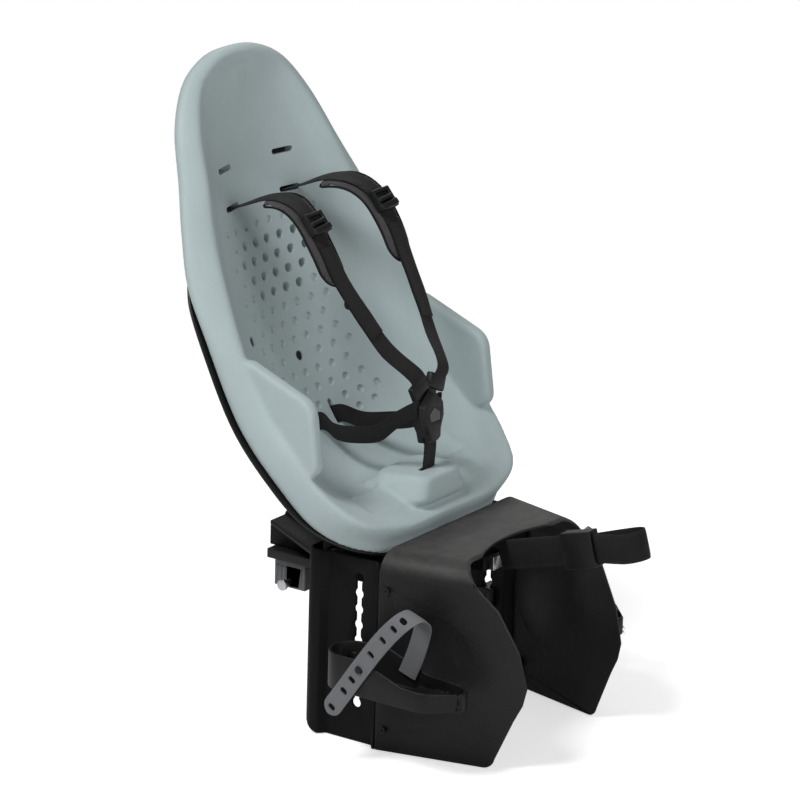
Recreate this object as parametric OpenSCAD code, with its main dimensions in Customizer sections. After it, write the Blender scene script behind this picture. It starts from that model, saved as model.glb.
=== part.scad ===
// Rear child bicycle seat that clamps onto a rear carrier.
// The seat faces -Y, +X is the child's left and +Z is up.
// The origin is the middle of the face that rests on the carrier's rails.

/* [Bucket] */
// Half-width of the bucket at its widest, over the rolled edge
bucket_half_w = 206; // [196:1:216]
// Height of the middle of the seat pan above the carrier
pan_z = 123; // [119:1:130]
// Length of the back, from the pan to the top of the headrest
back_len = 484; // [455:1:505]
// Thickness of the foam liner behind the child
foam_t = 14; // [11:0.5:16]
// Depth of the rolled foam edge behind its widest line
rim_back = 14; // [11:0.5:17]
// Wall of the hard shell behind the liner
shell_wall = 3.5; // [2.5:0.5:4.5]
// How far the shell's edge shows outside the foam
shell_show = 3; // [1:0.5:4]
// Gap between the liner and the shell
liner_gap = 0.3; // [0.2:0.1:0.6]

/* [Armrest wings] */
// Distance between the outer faces of the wings
wing_span = 380; // [372:1:386]
// Thickness of each wing
wing_t = 18; // [14:1:22]
// Height of the wings' rear top corner above the carrier
wing_top_z = 286; // [276:1:296]
// Radius of the wings' front top corner
wing_corner_r = 26; // [18:1:32]

/* [Pommel] */
// Half-width of the pommel's flat top
pommel_half_w = 40; // [32:1:46]
// Height of the pommel's top above the middle of the pan
pommel_h = 9; // [5:1:14]
// Place of the pommel's front edge along Y
pommel_front_y = -12; // [-16:1:-6]

/* [Ventilation] */
// Diameter of the open vent holes
vent_d = 10.5; // [8:0.5:12]
// Distance between two holes in a row
vent_pitch = 25; // [22:0.5:28]
// Distance between two rows of holes, along the back
vent_row = 21.5; // [19:0.5:24]

/* [Harness] */
// Width of the harness webbing
web_w = 25; // [20:1:28]
// Thickness of the harness webbing
web_t = 1.8; // [1.2:0.1:2.5]
// Distance between the two shoulder slots
slot_span = 118; // [106:1:128]
// Height of the shoulder slots in use, above the carrier
low_slot_z = 423; // [405:1:430]
// Height of the spare shoulder slots, above the carrier
high_slot_z = 471; // [455:1:478]
// Height of the hip slots above the carrier
hip_slot_z = 166; // [160:1:176]
// Width of the shoulder pads
pad_w = 46; // [36:1:54]
// Thickness of the shoulder pads
pad_t = 7; // [5:0.5:9]
// Width of the buckle
buckle_w = 46; // [40:1:52]
// Height of the buckle
buckle_h = 66; // [58:1:74]
// Thickness of the buckle
buckle_t = 20; // [16:1:24]
// Travel of the buckle's release button
button_travel = 2.5; // [1.5:0.5:3]

/* [Carrier body] */
// Half-width over the side columns
column_half_w = 150; // [140:1:156]
// Place of the columns' rear edge along Y
column_rear_y = 84; // [76:1:92]
// Place of the seam between the body and the leg shield along Y
seam_y = -24; // [-30:1:-18]
// How far the columns and the shield reach below the carrier's rails
skirt_drop = 182; // [165:1:200]
// Wall thickness of the body and the leg shield
body_wall = 4; // [3:0.5:5]
// Depth of the channel that the footrest slides in
channel_depth = 9; // [6:0.5:12]
// Gap between the seat's front edge and the body's deck
lip_gap = 2; // [1:0.5:4]

/* [Leg shield] */
// How far the shield reaches in front of the origin
shield_front_y = -212; // [-225:1:-200]
// Half-width of the shield at its front edge
shield_front_half_w = 103; // [96:1:110]
// Height of the shield's bridge above the carrier
bridge_z = 70; // [66:1:74]
// Place of the front edge of the bridge along Y
bridge_front_y = -108; // [-120:1:-96]
// Depth of the foot recess in each side
recess_depth = 13; // [8:1:16]

/* [Footrests] */
// Length of the footrest tray from heel to toe
tray_len = 186; // [170:1:196]
// Width of the footrest tray
tray_w = 60; // [54:1:66]
// Height of the heel cup's wall above the sole
heel_wall_h = 46; // [36:1:54]
// Height of the sole below the carrier's rails
sole_drop = 92; // [86:1:98]
// Distance between two height notches
notch_pitch = 20; // [16:1:24]
// Width of the rubber foot strap
foot_strap_w = 25; // [20:1:28]
// Thickness of the rubber foot strap
foot_strap_t = 3; // [2:0.5:4]

/* [Rack clamp] */
// Diameter of the carrier rails that the jaws grip
rail_d = 16; // [12:1:18]
// Distance between the centres of the two rails
rail_span = 122; // [112:1:132]
// Length of each clamping jaw along the rail
jaw_len = 46; // [36:1:56]
// Diameter of the tightening knob
knob_d = 38; // [32:1:44]
// Diameter of the clamp's cross screw
screw_d = 8; // [6:0.5:10]

/* [Safety strap] */
// Height of the safety strap's webbing
safety_w = 36; // [28:1:40]
// Length of the strap in front of the leg shield's bridge
safety_reach = 214; // [190:2:230]
// Half-width of the strap's loop
safety_loop_r = 20; // [16:1:26]

/* [Hidden] */
$fn = 48;

foam = [0.62, 0.68, 0.67];
black = [0.14, 0.14, 0.15];
dark = [0.2, 0.2, 0.21];
webbing = [0.23, 0.22, 0.23];
padding = [0.35, 0.35, 0.36];
rubber = [0.4, 0.4, 0.41];
steel = [0.7, 0.7, 0.72];

// Unit vectors, mirror image and a smooth step
function unit(v) = v / norm(v);
function other_side(p) = [-p[0], p[1], p[2]];
function smooth(f) = let (c = min(max(f, 0), 1)) c * c * (3 - 2 * c);

// A smooth curve through hand-set points: at its two ends it meets its own mirror image
function knot(p, i) = i < 0 ? other_side(p[-i])
    : i > len(p) - 1 ? other_side(p[2 * (len(p) - 1) - i]) : p[i];
function spline(a, b, c, d, f) = 0.5 * (2 * b + (c - a) * f
    + (2 * a - 5 * b + 4 * c - d) * f * f + (3 * b - a - 3 * c + d) * f * f * f);
function along(p, t) = let (s = t * (len(p) - 1), i = min(floor(s), len(p) - 2))
    spline(knot(p, i - 1), knot(p, i), knot(p, i + 1), knot(p, i + 2), s - i);

// Stations round the bucket's edge, from the middle of the front lip to the top of the headrest.
// Y and Z are set for the nominal seat and then scaled to the pan height and the back length.
nominal_half_w = 206;
nominal_back_len = 484;
w_k = bucket_half_w / nominal_half_w;
b_k = back_len / nominal_back_len;
function seat(p) = [p[0] * w_k, p[1] + max(p[2], 0) * 0.354 * (b_k - 1), pan_z +
    p[2] * (p[2] > 0 ? b_k : 1)];
function seats(list) = [for (p = list) seat(p)];

// The line down the middle of the seat's surface
spine = seats([[0, 62, 0], [0, 80, 0], [0, 100, 1], [0, 124, 7], [0, 152, 24], [0, 183, 66],
    [0, 220, 140], [0, 247, 216], [0, 268, 276], [0, 284, 328], [0, 295, 368], [0, 303, 400],
    [0, 307, 424], [0, 308, 440]]);
// The inner crest of the rolled edge
crest = seats([[0, 0, -27], [80, -1, -26], [136, 14, -12], [164, 46, 14], [176, 86, 54],
    [177, 133, 112], [168, 172, 180], [150, 212, 246], [133, 239, 296], [119, 258, 344],
    [100, 284, 398], [74, 304, 440], [39, 311, 461], [0, 314, 466]]);
// The front corner of the rolled edge
corner = seats([[0, -24, -36], [86, -24, -36], [152, -12, -22], [182, 22, 6], [194, 66, 48],
    [193, 118, 104], [186, 162, 176], [168, 203, 244], [151, 232, 298], [135, 253, 348],
    [115, 281, 406], [84, 302, 452], [44, 310, 474], [0, 313, 479]]);
// The widest line of the rolled edge
edge = seats([[0, -16, -58], [86, -16, -58], [152, 4, -44], [186, 40, -20], [200, 82, 22],
    [205, 140, 89], [206, 190, 186], [197, 224, 244], [178, 249, 300], [156, 271, 350],
    [132, 297, 410], [97, 314, 456], [50, 322, 479], [0, 325, 484]]);

rows = 36;
cols = 10;
row_bowl = 0.85;
row_wall = 0.8;
function bowl(r) = row_bowl * r * r + (1 - row_bowl) * smooth((r - row_wall) / (1 - row_wall));
function bowl_slope(r) = (bowl(r + 0.01) - bowl(r - 0.01)) / 0.02;

// The direction up the spine, the direction out of the seat's surface and the span of one row
function up_spine(t) = unit(along(spine, min(t + 0.02, 1)) - along(spine, max(t - 0.02, 0)));
function out_spine(t) = let (u = up_spine(t)) [0, -u[2], u[1]];
function reach(t) = along(crest, t) - along(spine, t);
function flat_part(t) = let (v = reach(t), n = out_spine(t)) v - n * (v * n);
function inner(t, r) = along(spine, t) + flat_part(t) * r
    + out_spine(t) * (reach(t) * out_spine(t)) * bowl(r);
function outward(t, r) = let (f = flat_part(t), n = out_spine(t))
    unit(n * norm(f) - unit(f) * (reach(t) * n) * bowl_slope(r));
function behind(t, r, d) = inner(t, r) - outward(t, r) * d;
function inboard(t) = -unit(flat_part(t));

// One row of the foam: over the seat's surface, round the edge and back behind the seat
back_end = 0.92;
function edge_curve(a, b, c, d) = [for (f = [0.33, 0.67, 1]) spline(a, b, c, d, f)];
function foam_row(t) = let (k = along(crest, t), c = along(corner, t), e = along(edge, t),
    b = e - out_spine(t) * rim_back + inboard(t) * 8, last = behind(t, back_end, foam_t))
    concat([for (j = [0 : cols]) inner(t, j / cols)],
        edge_curve(inner(t, 1 - 1 / cols), k, c, e), edge_curve(k, c, e, b),
        edge_curve(c, e, b, last), [for (j = [cols : -1 : 0]) behind(t, j / cols * back_end, foam_t)]);

// One row of the shell: it follows the foam's back and ends in a flange behind the rolled edge.
// The flange shows at the sides of the pan, and is drawn in behind the foam at the lip and the headrest.
flange_gap = liner_gap + 0.4;
// Room behind the foam where the flange is drawn in
draw_gap = 2;
function show(t) = shell_show - 9 * smooth((t - 0.45) / 0.12) - 9 * smooth((0.3 - t) / 0.12);
function draw_in(t) = 0.55 * smooth((t - 0.5) / 0.14);
function shell_row(t) = let (e = along(edge, t), n = out_spine(t), q = inboard(t),
    d = foam_t + liner_gap, s = rim_back + flange_gap,
    outer = behind(t, back_end, d + shell_wall), near = behind(t, back_end, d),
    a = e - n * (s + shell_wall) + q * 9, b = e - n * s + q * 8,
    out_shift = (outer - a - n * draw_gap) * draw_in(t), in_shift = (near - b - n * draw_gap) * draw_in(t))
    concat([for (j = [0 : cols]) behind(t, j / cols * back_end, d + shell_wall)],
        [a + out_shift, a - q * (9 + show(t)) + out_shift, b - q * (8 + show(t)) + in_shift, b + in_shift],
        [for (j = [cols : -1 : 0]) behind(t, j / cols * back_end, d)]);

// A closed skin from half rows: the first and last rows and both ends of a row lie on the mirror plane.
// Rows that start on the far side of the wall are turned round.
module mirrored_skin(half, from_behind = false) {
    n = len(half) - 1;
    m = len(half[0]);
    right = [for (row = half) each row];
    left = [for (i = [1 : n - 1]) for (j = [1 : m - 2]) other_side(half[i][j])];
    function at(i, j) = i * m + j;
    function mate(i, j) = i == 0 || i == n || j == 0 || j == m - 1 ? at(i, j)
        : (n + 1) * m + (i - 1) * (m - 2) + j - 1;
    // Two corner quads are split the other way, so that no face lies flat on the mirror plane
    function turned(i, j) = (i == 0 && j == m - 2) || (i == n - 1 && j == 0);
    function split(a, b, c, d, turn) = turn ? [[a, b, d], [b, c, d]] : [[a, b, c], [a, c, d]];
    faces = [for (i = [0 : n - 1]) for (j = [0 : m - 2]) each concat(
        split(at(i, j), at(i + 1, j), at(i + 1, j + 1), at(i, j + 1), turned(i, j)),
        [for (f = split(mate(i, j), mate(i + 1, j), mate(i + 1, j + 1), mate(i, j + 1), turned(i, j)))
            [f[2], f[1], f[0]]])];
    polyhedron(points = concat(right, left), faces = from_behind ?
        [for (f = faces) [f[2], f[1], f[0]]] : faces,
        convexity = 8);
}

// Where a station lies on the spine, counted in mm from the front of the pan
steps = 60;
spine_run = [for (i = 0, d = 0; i <= steps; d = d + norm(along(spine, (i + 1) / steps)
    - along(spine, i / steps)), i = i + 1) [d, i / steps]];
function station(d) = lookup(d, spine_run);
function run_at_z(z) = let (hit = [for (s = spine_run) if (along(spine, s[1])[2] >= z) s[0]]) hit[0];
// The row and the fraction of it that pass through a point x beside the spine
function row_through(d, x) = let (t0 = station(d), r0 = abs(x) / along(crest, t0)[0],
    t = station(d - flat_part(t0) * up_spine(t0) * r0)) [t, min(abs(x) / along(crest, t)[0], 1)];
function mirrored_if(p, x) = x < 0 ? other_side(p) : p;
function seat_point(d, x) = let (q = row_through(d, x)) mirrored_if(inner(q[0], q[1]), x);
function seat_normal(d, x) = let (q = row_through(d, x)) mirrored_if(outward(q[0], q[1]), x);

// Turns a piece that points along +Z so that it points along v
module facing(v) { rotate([0, acos(v[2] / norm(v)), atan2(v[1], v[0])]) children(); }
module mirrored_pair(side) { mirror([side < 0 ? 1 : 0, 0, 0]) children(); }

// A band that is swept along hand-set points, each with the direction of the band's width
function open_knot(p, i) = p[min(max(i, 0), len(p) - 1)];
function open_along(p, t) = let (s = t * (len(p) - 1), i = min(floor(s), len(p) - 2))
    spline(open_knot(p, i - 1), open_knot(p, i), open_knot(p, i + 1), open_knot(p, i + 2), s - i);
function place(q) = [q[0], q[1], q[2]];
function across(q) = unit([q[3], q[4], q[5]]);
function band_tangent(p, t) = unit(place(open_along(p, min(t + 0.01, 1)))
    - place(open_along(p, max(t - 0.01, 0))));
function band_out(p, t) = unit(cross(band_tangent(p, t), across(open_along(p, t))));
function band_point(p, t, a, b) = let (q = open_along(p, t))
    place(q) + across(q) * a + band_out(p, t) * b;
// tip rounds the band's first end over that share of its length
module band(p, w, thick, lift = 0, from = 0, to = 1, n = 20, tip = 0) {
    ts = concat(tip > 0 ? [for (f = [0.02, 0.15, 0.4, 0.7]) from + tip * f] : [from],
        [for (i = [1 : n]) from + tip + (to - from - tip) * i / n]);
    m = len(ts) - 1;
    function half(t) = w / 2 * (tip > 0 && t < from + tip ? sqrt(1 - pow(1 - (t - from) / tip, 2)) : 1);
    rings = [for (t = ts) let (h = half(t)) each [
        band_point(p, t, -h, lift - thick / 2), band_point(p, t, h, lift - thick / 2),
        band_point(p, t, h, lift + thick / 2), band_point(p, t, -h, lift + thick / 2)]];
    sides = [for (i = [0 : m - 1]) for (j = [0 : 3]) let (a = 4 * i + j, b = 4 * i + (j + 1) % 4) each [
        [a, b + 4, b], [a, a + 4, b + 4]]];
    polyhedron(points = rings, faces = concat([[0, 1, 2, 3], [4 * m + 3, 4 * m + 2, 4 * m + 1, 4 * m]],
        sides));
}

// Points of an arc, for outlines
function arc(x, y, r, a0, a1, n = 8) = [for (i = [0 : n]) let (a = a0 + (a1 - a0) * i / n)
    [x + r * cos(a), y + r * sin(a)]];
// A long hole with round ends, along X, cut through along Z
module long_hole(l, w, h) {
    cube([l - w, w, h], center = true);
    for (s = [-1, 1]) translate([s * (l - w) / 2, 0, 0]) cylinder(d = w, h = h, center = true);
}
module screw(d, head_d, head_h, shank) {
    difference() {
        cylinder(d = head_d, h = head_h);
        translate([0, 0, -1]) cylinder(d = head_d * 0.5, h = head_h * 0.6 + 1, $fn = 6);
    }
    translate([0, 0, head_h]) cylinder(d = d, h = shank);
}

row_t = [for (i = [0 : rows]) i / rows];
module foam_body() { mirrored_skin([for (t = row_t) foam_row(t)]); }
module shell_body() { mirrored_skin([for (t = row_t) shell_row(t)], from_behind = true); }

// Places on the seat that several pieces share
z_run = [for (s = spine_run) [along(spine, s[1])[2], s[0]]];
function run_at(z) = lookup(z, z_run);
shell_back = foam_t + liner_gap + shell_wall;
slot_x = slot_span / 2;
hip_x = 20;
crotch_y = 12;
slot_l = web_w + 9;
slot_w = 7;
vent_rows = 4;
vent_run = run_at(375);
plug_d = 12;
plug_low_run = run_at(235);
plug_high_run = run_at(270);
plug_x = 100;

// Cuts a tool that points along +Z through the seat at a place on it
module on_seat(d, x) {
    p = seat_point(d, x);
    n = seat_normal(d, x);
    translate(p) rotate([acos(n[2]), 0, 90 + atan2(n[1], n[0])]) children();
}
module slot_tools(grow) {
    for (s = [-1, 1]) for (z = [low_slot_z, high_slot_z])
        on_seat(run_at(z), s * slot_x) long_hole(slot_l + grow, slot_w + grow, 90);
    for (s = [-1, 1]) on_seat(run_at(hip_slot_z), s * hip_x)
        rotate([0, 0, 90]) long_hole(slot_l + grow, slot_w + grow, 90);
    translate([0, crotch_y, pan_z]) long_hole(slot_l + grow, slot_w + grow, 200);
}
function vent_count(row) = row == 0 || row == 2 ? 5 : row == 1 ? 6 : 4;
module vent_tools(d, h) {
    for (row = [0 : vent_rows - 1]) for (k = [0 : vent_count(row) - 1])
        on_seat(vent_run - row * vent_row, (k - (vent_count(row) - 1) / 2) * vent_pitch)
            cylinder(d = d, h = h, center = true);
}
module plug_tools(d) {
    on_seat(plug_low_run, 0) cylinder(d = d, h = 60, center = true);
    for (s = [-1, 1]) on_seat(plug_high_run, s * plug_x) cylinder(d = d, h = 60, center = true);
}

// The four bolts that hold the shell on the body's pedestal
pedestal_z = pan_z - shell_back - 3.2;
lip_drop = 59.5;
deck_z = pan_z - lip_drop - rim_back - flange_gap - shell_wall - lip_gap;
bolt_d = 6;
bolt_places = [for (x = [-30, 30]) for (y = [80, 104]) [x, y]];
bolt_head_d = 12;
bolt_head_h = 4;
module at_bolts() { for (p = bolt_places) translate([p[0], p[1], 0]) children(); }

wing_x = wing_span / 2 - wing_t / 2;
module wing(side) {
    r = wing_corner_r;
    edge_r = 7;
    mirrored_pair(side) hull() for (c = [[148, wing_top_z - 14, 12], [52 + r, wing_top_z - 30 - r, r],
        [60, pan_z + 50, 18], [108, pan_z + 82, 18]])
        translate([wing_x, c[0], c[1]]) rotate([0, 90, 0]) union() {
            cylinder(r = c[2], h = wing_t - 2 * edge_r, center = true, $fn = 32);
            cylinder(r = c[2] - edge_r * 0.6, h = wing_t, center = true, $fn = 32);
        }
}
module pommel() {
    top = pan_z + pommel_h;
    hull() {
        for (s = [-1, 1]) {
            translate([s * (pommel_half_w - 12), pommel_front_y + 12, top - 8])
                cylinder(r = 12, h = 8, $fn = 32);
            translate([s * (pommel_half_w - 6), 46, top - 8]) cylinder(r = 12, h = 6, $fn = 32);
            translate([s * (pommel_half_w + 4), pommel_front_y + 10, pan_z - 25])
                cylinder(r = 12, h = 8, $fn = 32);
            translate([s * (pommel_half_w + 4), 50, pan_z - 7]) cylinder(r = 12, h = 4, $fn = 32);
        }
    }
}

module foam_liner() color(foam) difference() {
    union() {
        foam_body();
        for (s = [-1, 1]) wing(s);
        pommel();
    }
    slot_tools(0);
    vent_tools(vent_d, 60);
    plug_tools(plug_d + 0.6);
}

module seat_shell() color(black) difference() {
    shell_body();
    slot_tools(4);
    vent_tools(vent_d + 3, 60);
    plug_tools(plug_d * 0.5 + 0.4);
    at_bolts() translate([0, 0, pedestal_z - 5]) cylinder(d = bolt_d + 0.4, h = 20);
}

// Push-in plugs that hold the liner in the shell, their caps just under the foam's surface
plug_sink = 1.2;
module liner_plug(d, x) on_seat(d, x) translate([0, 0, -foam_t - liner_gap - shell_wall - 2]) {
    cylinder(d = plug_d * 0.5, h = 8);
    translate([0, 0, shell_wall + liner_gap + 3]) cylinder(d = plug_d, h = foam_t - plug_sink - 1);
}
module liner_plugs() color(black) {
    liner_plug(plug_low_run, 0);
    for (s = [-1, 1]) liner_plug(plug_high_run, s * plug_x);
}

module shell_screws() color(steel) at_bolts()
    translate([0, 0, pedestal_z - body_wall - bolt_head_h])
        screw(bolt_d, bolt_head_d, bolt_head_h, body_wall + shell_wall);

bar_d = 8;
bar_run = run_at(low_slot_z);
bar_centre = seat_point(bar_run, 0) - seat_normal(bar_run, 0) * (shell_back + bar_d / 2 + 0.3);
module harness_anchor_bar() color(steel)
    translate(bar_centre) rotate([0, 90, 0]) cylinder(d = bar_d, h = slot_span + web_w + 12, center = true);

// The body under the seat: side columns, deck, pedestal and rear hump
channel_y0 = seam_y + 7;
channel_y1 = column_rear_y - 26;
channel_mid = 10;
column_top = 54;
column_in = 32;
slot_cut_w = 7;
notch_d = 12;
notch_count = 9;
notch_low = -sole_drop - 2 * notch_pitch;
deck_t = 6;
rear_y = 194;
rear_half_w = 72;
pedestal_half_w = 42;
tab_x = column_half_w - channel_depth - body_wall - 1;
module column() {
    w = body_wall;
    x1 = column_half_w;
    x0 = column_half_w - column_in;
    difference() {
        translate([0, 0, -skirt_drop]) linear_extrude(height = skirt_drop + column_top) polygon(concat(
            [[x1, seam_y], [x1, channel_y0 - 3], [x1 - channel_depth, channel_y0 + 4],
             [x1 - channel_depth, channel_y1 - 4], [x1, channel_y1 + 3]],
            arc(x1 - 14, column_rear_y - 14, 14, 0, 90), [[x0, column_rear_y], [x0, column_rear_y - w]],
            arc(x1 - 14, column_rear_y - 14, 14 - w, 90, 0),
            [[x1 - w, channel_y1 + 3 + w], [x1 - channel_depth - w, channel_y1 - 4 + w],
             [x1 - channel_depth - w, channel_y0 + 4 - w * 0.6], [x1 - w, seam_y]]));
        translate([x1 - channel_depth - w / 2, channel_mid, 0]) {
            translate([0, 0, (notch_low + notch_low + (notch_count - 1) * notch_pitch) / 2])
                cube([w * 3, slot_cut_w, (notch_count - 1) * notch_pitch], center = true);
            for (k = [0 : notch_count - 1]) translate([0, 0, notch_low + k * notch_pitch])
                rotate([0, 90, 0]) cylinder(d = notch_d, h = w * 3, center = true);
        }
        translate([x0 - 50, 0, -skirt_drop]) rotate([90, 0, 90]) linear_extrude(height = 200)
            polygon(concat(
            [[column_rear_y + 20, -20]], [[column_rear_y + 20, 26]],
            arc(column_rear_y - 26, 26, 26, 0, -90), [[column_rear_y - 26, -20]]));
    }
}
module carrier_body() color(dark) difference() {
    union() {
        for (s = [-1, 1]) mirrored_pair(s) column();
        translate([0, 0, deck_z - deck_t]) linear_extrude(height = deck_t) polygon([
            [-column_half_w + body_wall + channel_depth, seam_y],
                [column_half_w - body_wall - channel_depth, seam_y],
            [column_half_w - body_wall - channel_depth, column_rear_y - body_wall], [rear_half_w, rear_y],
            [-rear_half_w, rear_y], [-column_half_w + body_wall + channel_depth,
                column_rear_y - body_wall]]);
        translate([-pedestal_half_w, 0, 0]) rotate([90, 0, 90]) linear_extrude(height = 2 * pedestal_half_w)
            polygon([[62, deck_z - 1], [68, pedestal_z], [116, pedestal_z], [rear_y - 8, deck_z + 12],
                [rear_y, deck_z + 2], [rear_y, deck_z - 1]]);
        translate([-rear_half_w, 134, base_h]) cube([2 * rear_half_w, rear_y - 134, deck_z - base_h]);
        translate([-nose_half_w, nose_y, nose_z])
            cube([2 * nose_half_w, seam_y - nose_y + 20, deck_z - nose_z]);
        translate([-rear_half_w, -16, base_h]) cube([2 * rear_half_w, body_wall, deck_z - base_h]);
        for (s = [-1, 1]) for (z = screw_places) mirrored_pair(s) translate([tab_x, seam_y - 20, z - 11])
            cube([body_wall, 20 + channel_y0 - seam_y + 8, 22]);
    }
    for (s = [-1, 1]) for (z = screw_places) translate([s * tab_x, shield_screw_y, z])
        rotate([0, 90, 0]) cylinder(d = 4.4, h = 40, center = true);
    translate([-pedestal_half_w + body_wall, 0, 0]) rotate([90, 0, 90])
        linear_extrude(height = 2 * (pedestal_half_w - body_wall))
        polygon([[67, base_h - 1], [72, pedestal_z - body_wall], [114, pedestal_z - body_wall],
            [rear_y - 14, deck_z + 8], [rear_y - 8, deck_z], [rear_y - 8, base_h - 1]]);
    at_bolts() translate([0, 0, pedestal_z - body_wall - 1]) cylinder(d = bolt_d + 0.4, h = body_wall + 2);
}

reflector_w = 88;
reflector_h = 24;
module rear_reflector() color([0.7, 0.05, 0.05])
    translate([0, rear_y, (base_h + deck_z) / 2]) rotate([-90, 0, 0])
        union() {
            long_hole_plate(reflector_w, reflector_h, 4);
            translate([0, 0, 2]) long_hole_plate(reflector_w - 6, reflector_h - 6, 5);
        }
module long_hole_plate(l, w, h) {
    translate([0, 0, h / 2]) cube([l - w, w, h], center = true);
    for (s = [-1, 1]) translate([s * (l - w) / 2, 0, 0]) cylinder(d = w, h = h);
}

// The leg shield: a bridge over the wheel with a guard down each side
module channel_section(y, half_w, drop) {
    r = 30 - drop;
    translate([0, y, 0]) rotate([90, 0, 0]) linear_extrude(height = 0.2) union() {
        for (s = [-1, 1]) translate([s * (half_w - drop - r), bridge_z - drop - r]) circle(r = r, $fn = 32);
        translate([-(half_w - drop), -skirt_drop - 1 - drop])
            square([2 * (half_w - drop), skirt_drop + bridge_z - r + 1]);
    }
}
module guard_block(drop) hull() {
    channel_section(seam_y + 0.1 + drop, column_half_w, drop);
    channel_section(shield_front_y - 4 - drop, shield_front_half_w, drop);
}
seam_gap = 0.4;
recess_r = 145;
recess_y = -88;
recess_z = -58;
guard_slope = (column_half_w - shield_front_half_w) / (seam_y - shield_front_y);
guard_out = [1, -guard_slope] / norm([1, guard_slope]);
recess_at = [column_half_w - guard_slope * (seam_y - recess_y), recess_y] +
    guard_out * (recess_r - recess_depth);
module foot_recess(grow) for (s = [-1, 1]) mirrored_pair(s)
    translate([recess_at[0], recess_at[1], recess_z]) rotate([0, 90, 0])
        sphere(r = recess_r + grow, $fn = 96);
module shield_outline() translate([-200, 0, 0]) rotate([90, 0, 90]) linear_extrude(height = 400)
    polygon(concat(
    [[seam_y - seam_gap, bridge_z + 5], [bridge_front_y - 4, bridge_z + 5]],
    [[bridge_front_y - 22, bridge_z - 8], [shield_front_y + 68, bridge_z - 24],
        [shield_front_y + 38, bridge_z - 52],
     [shield_front_y + 11, bridge_z - 100], [shield_front_y, bridge_z - 144],
         [shield_front_y + 5, bridge_z - 166],
     [shield_front_y + 16, bridge_z - 188]],
    arc(shield_front_y + 52, -skirt_drop + 14, 14, 190, 270), [[seam_y - seam_gap, -skirt_drop]]));
bridge_arc_r = 187;
bridge_cut_half_w = 88;
screw_places = [-skirt_drop + 28, 24];
shield_screw_y = seam_y - 12;
module leg_shield() color(dark) difference() {
    intersection() {
        difference() {
            guard_block(0);
            foot_recess(0);
        }
        shield_outline();
    }
    difference() {
        guard_block(body_wall);
        foot_recess(body_wall);
    }
    intersection() {
        translate([0, bridge_front_y - bridge_arc_r, 0]) cylinder(r = bridge_arc_r, h = 200, $fn = 128);
        translate([-bridge_cut_half_w, -400, 0]) cube([2 * bridge_cut_half_w, 400, 200]);
    }
    for (s = [-1, 1]) for (z = screw_places) translate([s * column_half_w, shield_screw_y, z])
        rotate([0, 90, 0]) cylinder(d = 4.4, h = 40, center = true);
}
module shield_screws() color(steel) for (s = [-1, 1]) for (z = screw_places) mirrored_pair(s)
    translate([column_half_w - guard_slope * 12 + 3.4, shield_screw_y, z]) rotate([0, -90, 0])
        screw(4, 8, 2.2, 12);

// Footrests: a shoe-shaped tray that slides up and down the notched slot
tray_x0 = column_half_w + 0.4;
slider_x = column_half_w - channel_depth + 0.4;
tray_x1 = tray_x0 + tray_w;
heel_y = 18;
toe_y = heel_y - tray_len;
tray_wall = 3.5;
toe_step = 9;
toe_start_y = toe_y + 78;
toe_rim_h = 22;
guide_z = -sole_drop + notch_pitch;
guide_h = 24;
function tray_outline(i) = let (r = tray_w / 2 - i, x0 = tray_x0 + i, x1 = tray_x1 - i) concat(
    arc((tray_x0 + tray_x1) / 2, heel_y - tray_w / 2, r, 0, 180, 16),
        arc(x0 + 20, toe_y + 20 + i, 20, 180, 285, 8),
    arc(x1 - 30, toe_y + 48 + i, 30, -50, 0, 6));
module tray_cut() translate([tray_x0 - 20, 0, 0]) rotate([90, 0, 90])
    linear_extrude(height = tray_w + 60) polygon([
    [heel_y + 5, -sole_drop - 4], [heel_y + 5, -sole_drop + heel_wall_h],
        [heel_y - 64, -sole_drop + heel_wall_h],
    [heel_y - 120, -sole_drop + toe_rim_h + 4], [toe_y - 5, -sole_drop + toe_rim_h],
        [toe_y - 5, -sole_drop - 4]]);
module footrest(side) color(black) mirrored_pair(side) difference() {
    union() {
        difference() {
            intersection() {
                translate([0, 0, -sole_drop]) linear_extrude(height = heel_wall_h) polygon(tray_outline(0));
                tray_cut();
            }
            translate([0, 0, -sole_drop + 4]) linear_extrude(height = heel_wall_h)
                polygon(tray_outline(tray_wall));
        }
        intersection() {
            translate([0, 0, -sole_drop + 3]) linear_extrude(height = toe_step + 2)
                polygon(tray_outline(tray_wall - 0.5));
            translate([tray_x0, toe_y, -sole_drop]) cube([tray_w, toe_start_y - toe_y, toe_step]);
        }
        intersection() {
            translate([0, 0, -sole_drop + 3]) linear_extrude(height = 40)
                polygon(tray_outline(tray_wall - 0.5));
            for (k = [0 : 4]) translate([(tray_x0 + tray_x1) / 2 - 4, toe_start_y - 12, -sole_drop +
                toe_step - 1]) difference() {
                cylinder(r = 19 + 10 * k, h = 3);
                translate([0, 0, -1]) cylinder(r = 15 + 10 * k, h = 5);
                translate([-100, -8, -1]) cube([200, 200, 5]);
            }
        }
        translate([slider_x - channel_wall_x, channel_mid - guide_w / 2, guide_z - guide_h / 2])
            cube([channel_wall_x + 2, guide_w, guide_h]);
        translate([slider_x - channel_wall_x - 5, channel_mid - 11, guide_z - guide_h / 2])
            cube([5, 22, guide_h]);
        translate([slider_x, channel_mid - 11, -sole_drop])
            cube([block_x - slider_x, 22, guide_z + guide_h / 2 + sole_drop]);
    }
    translate([slider_x - 30, channel_mid, guide_z]) rotate([0, 90, 0]) cylinder(d = lock_d + 0.4, h = 60);
    translate([block_x - 6, channel_mid, guide_z]) rotate([0, 90, 0]) cylinder(d = lock_head_d + 1, h = 10);
}
channel_wall_x = 0.4 + body_wall + 0.4;
guide_w = slot_cut_w - 0.8;
lock_d = 3.6;
lock_head_d = 12;
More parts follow.
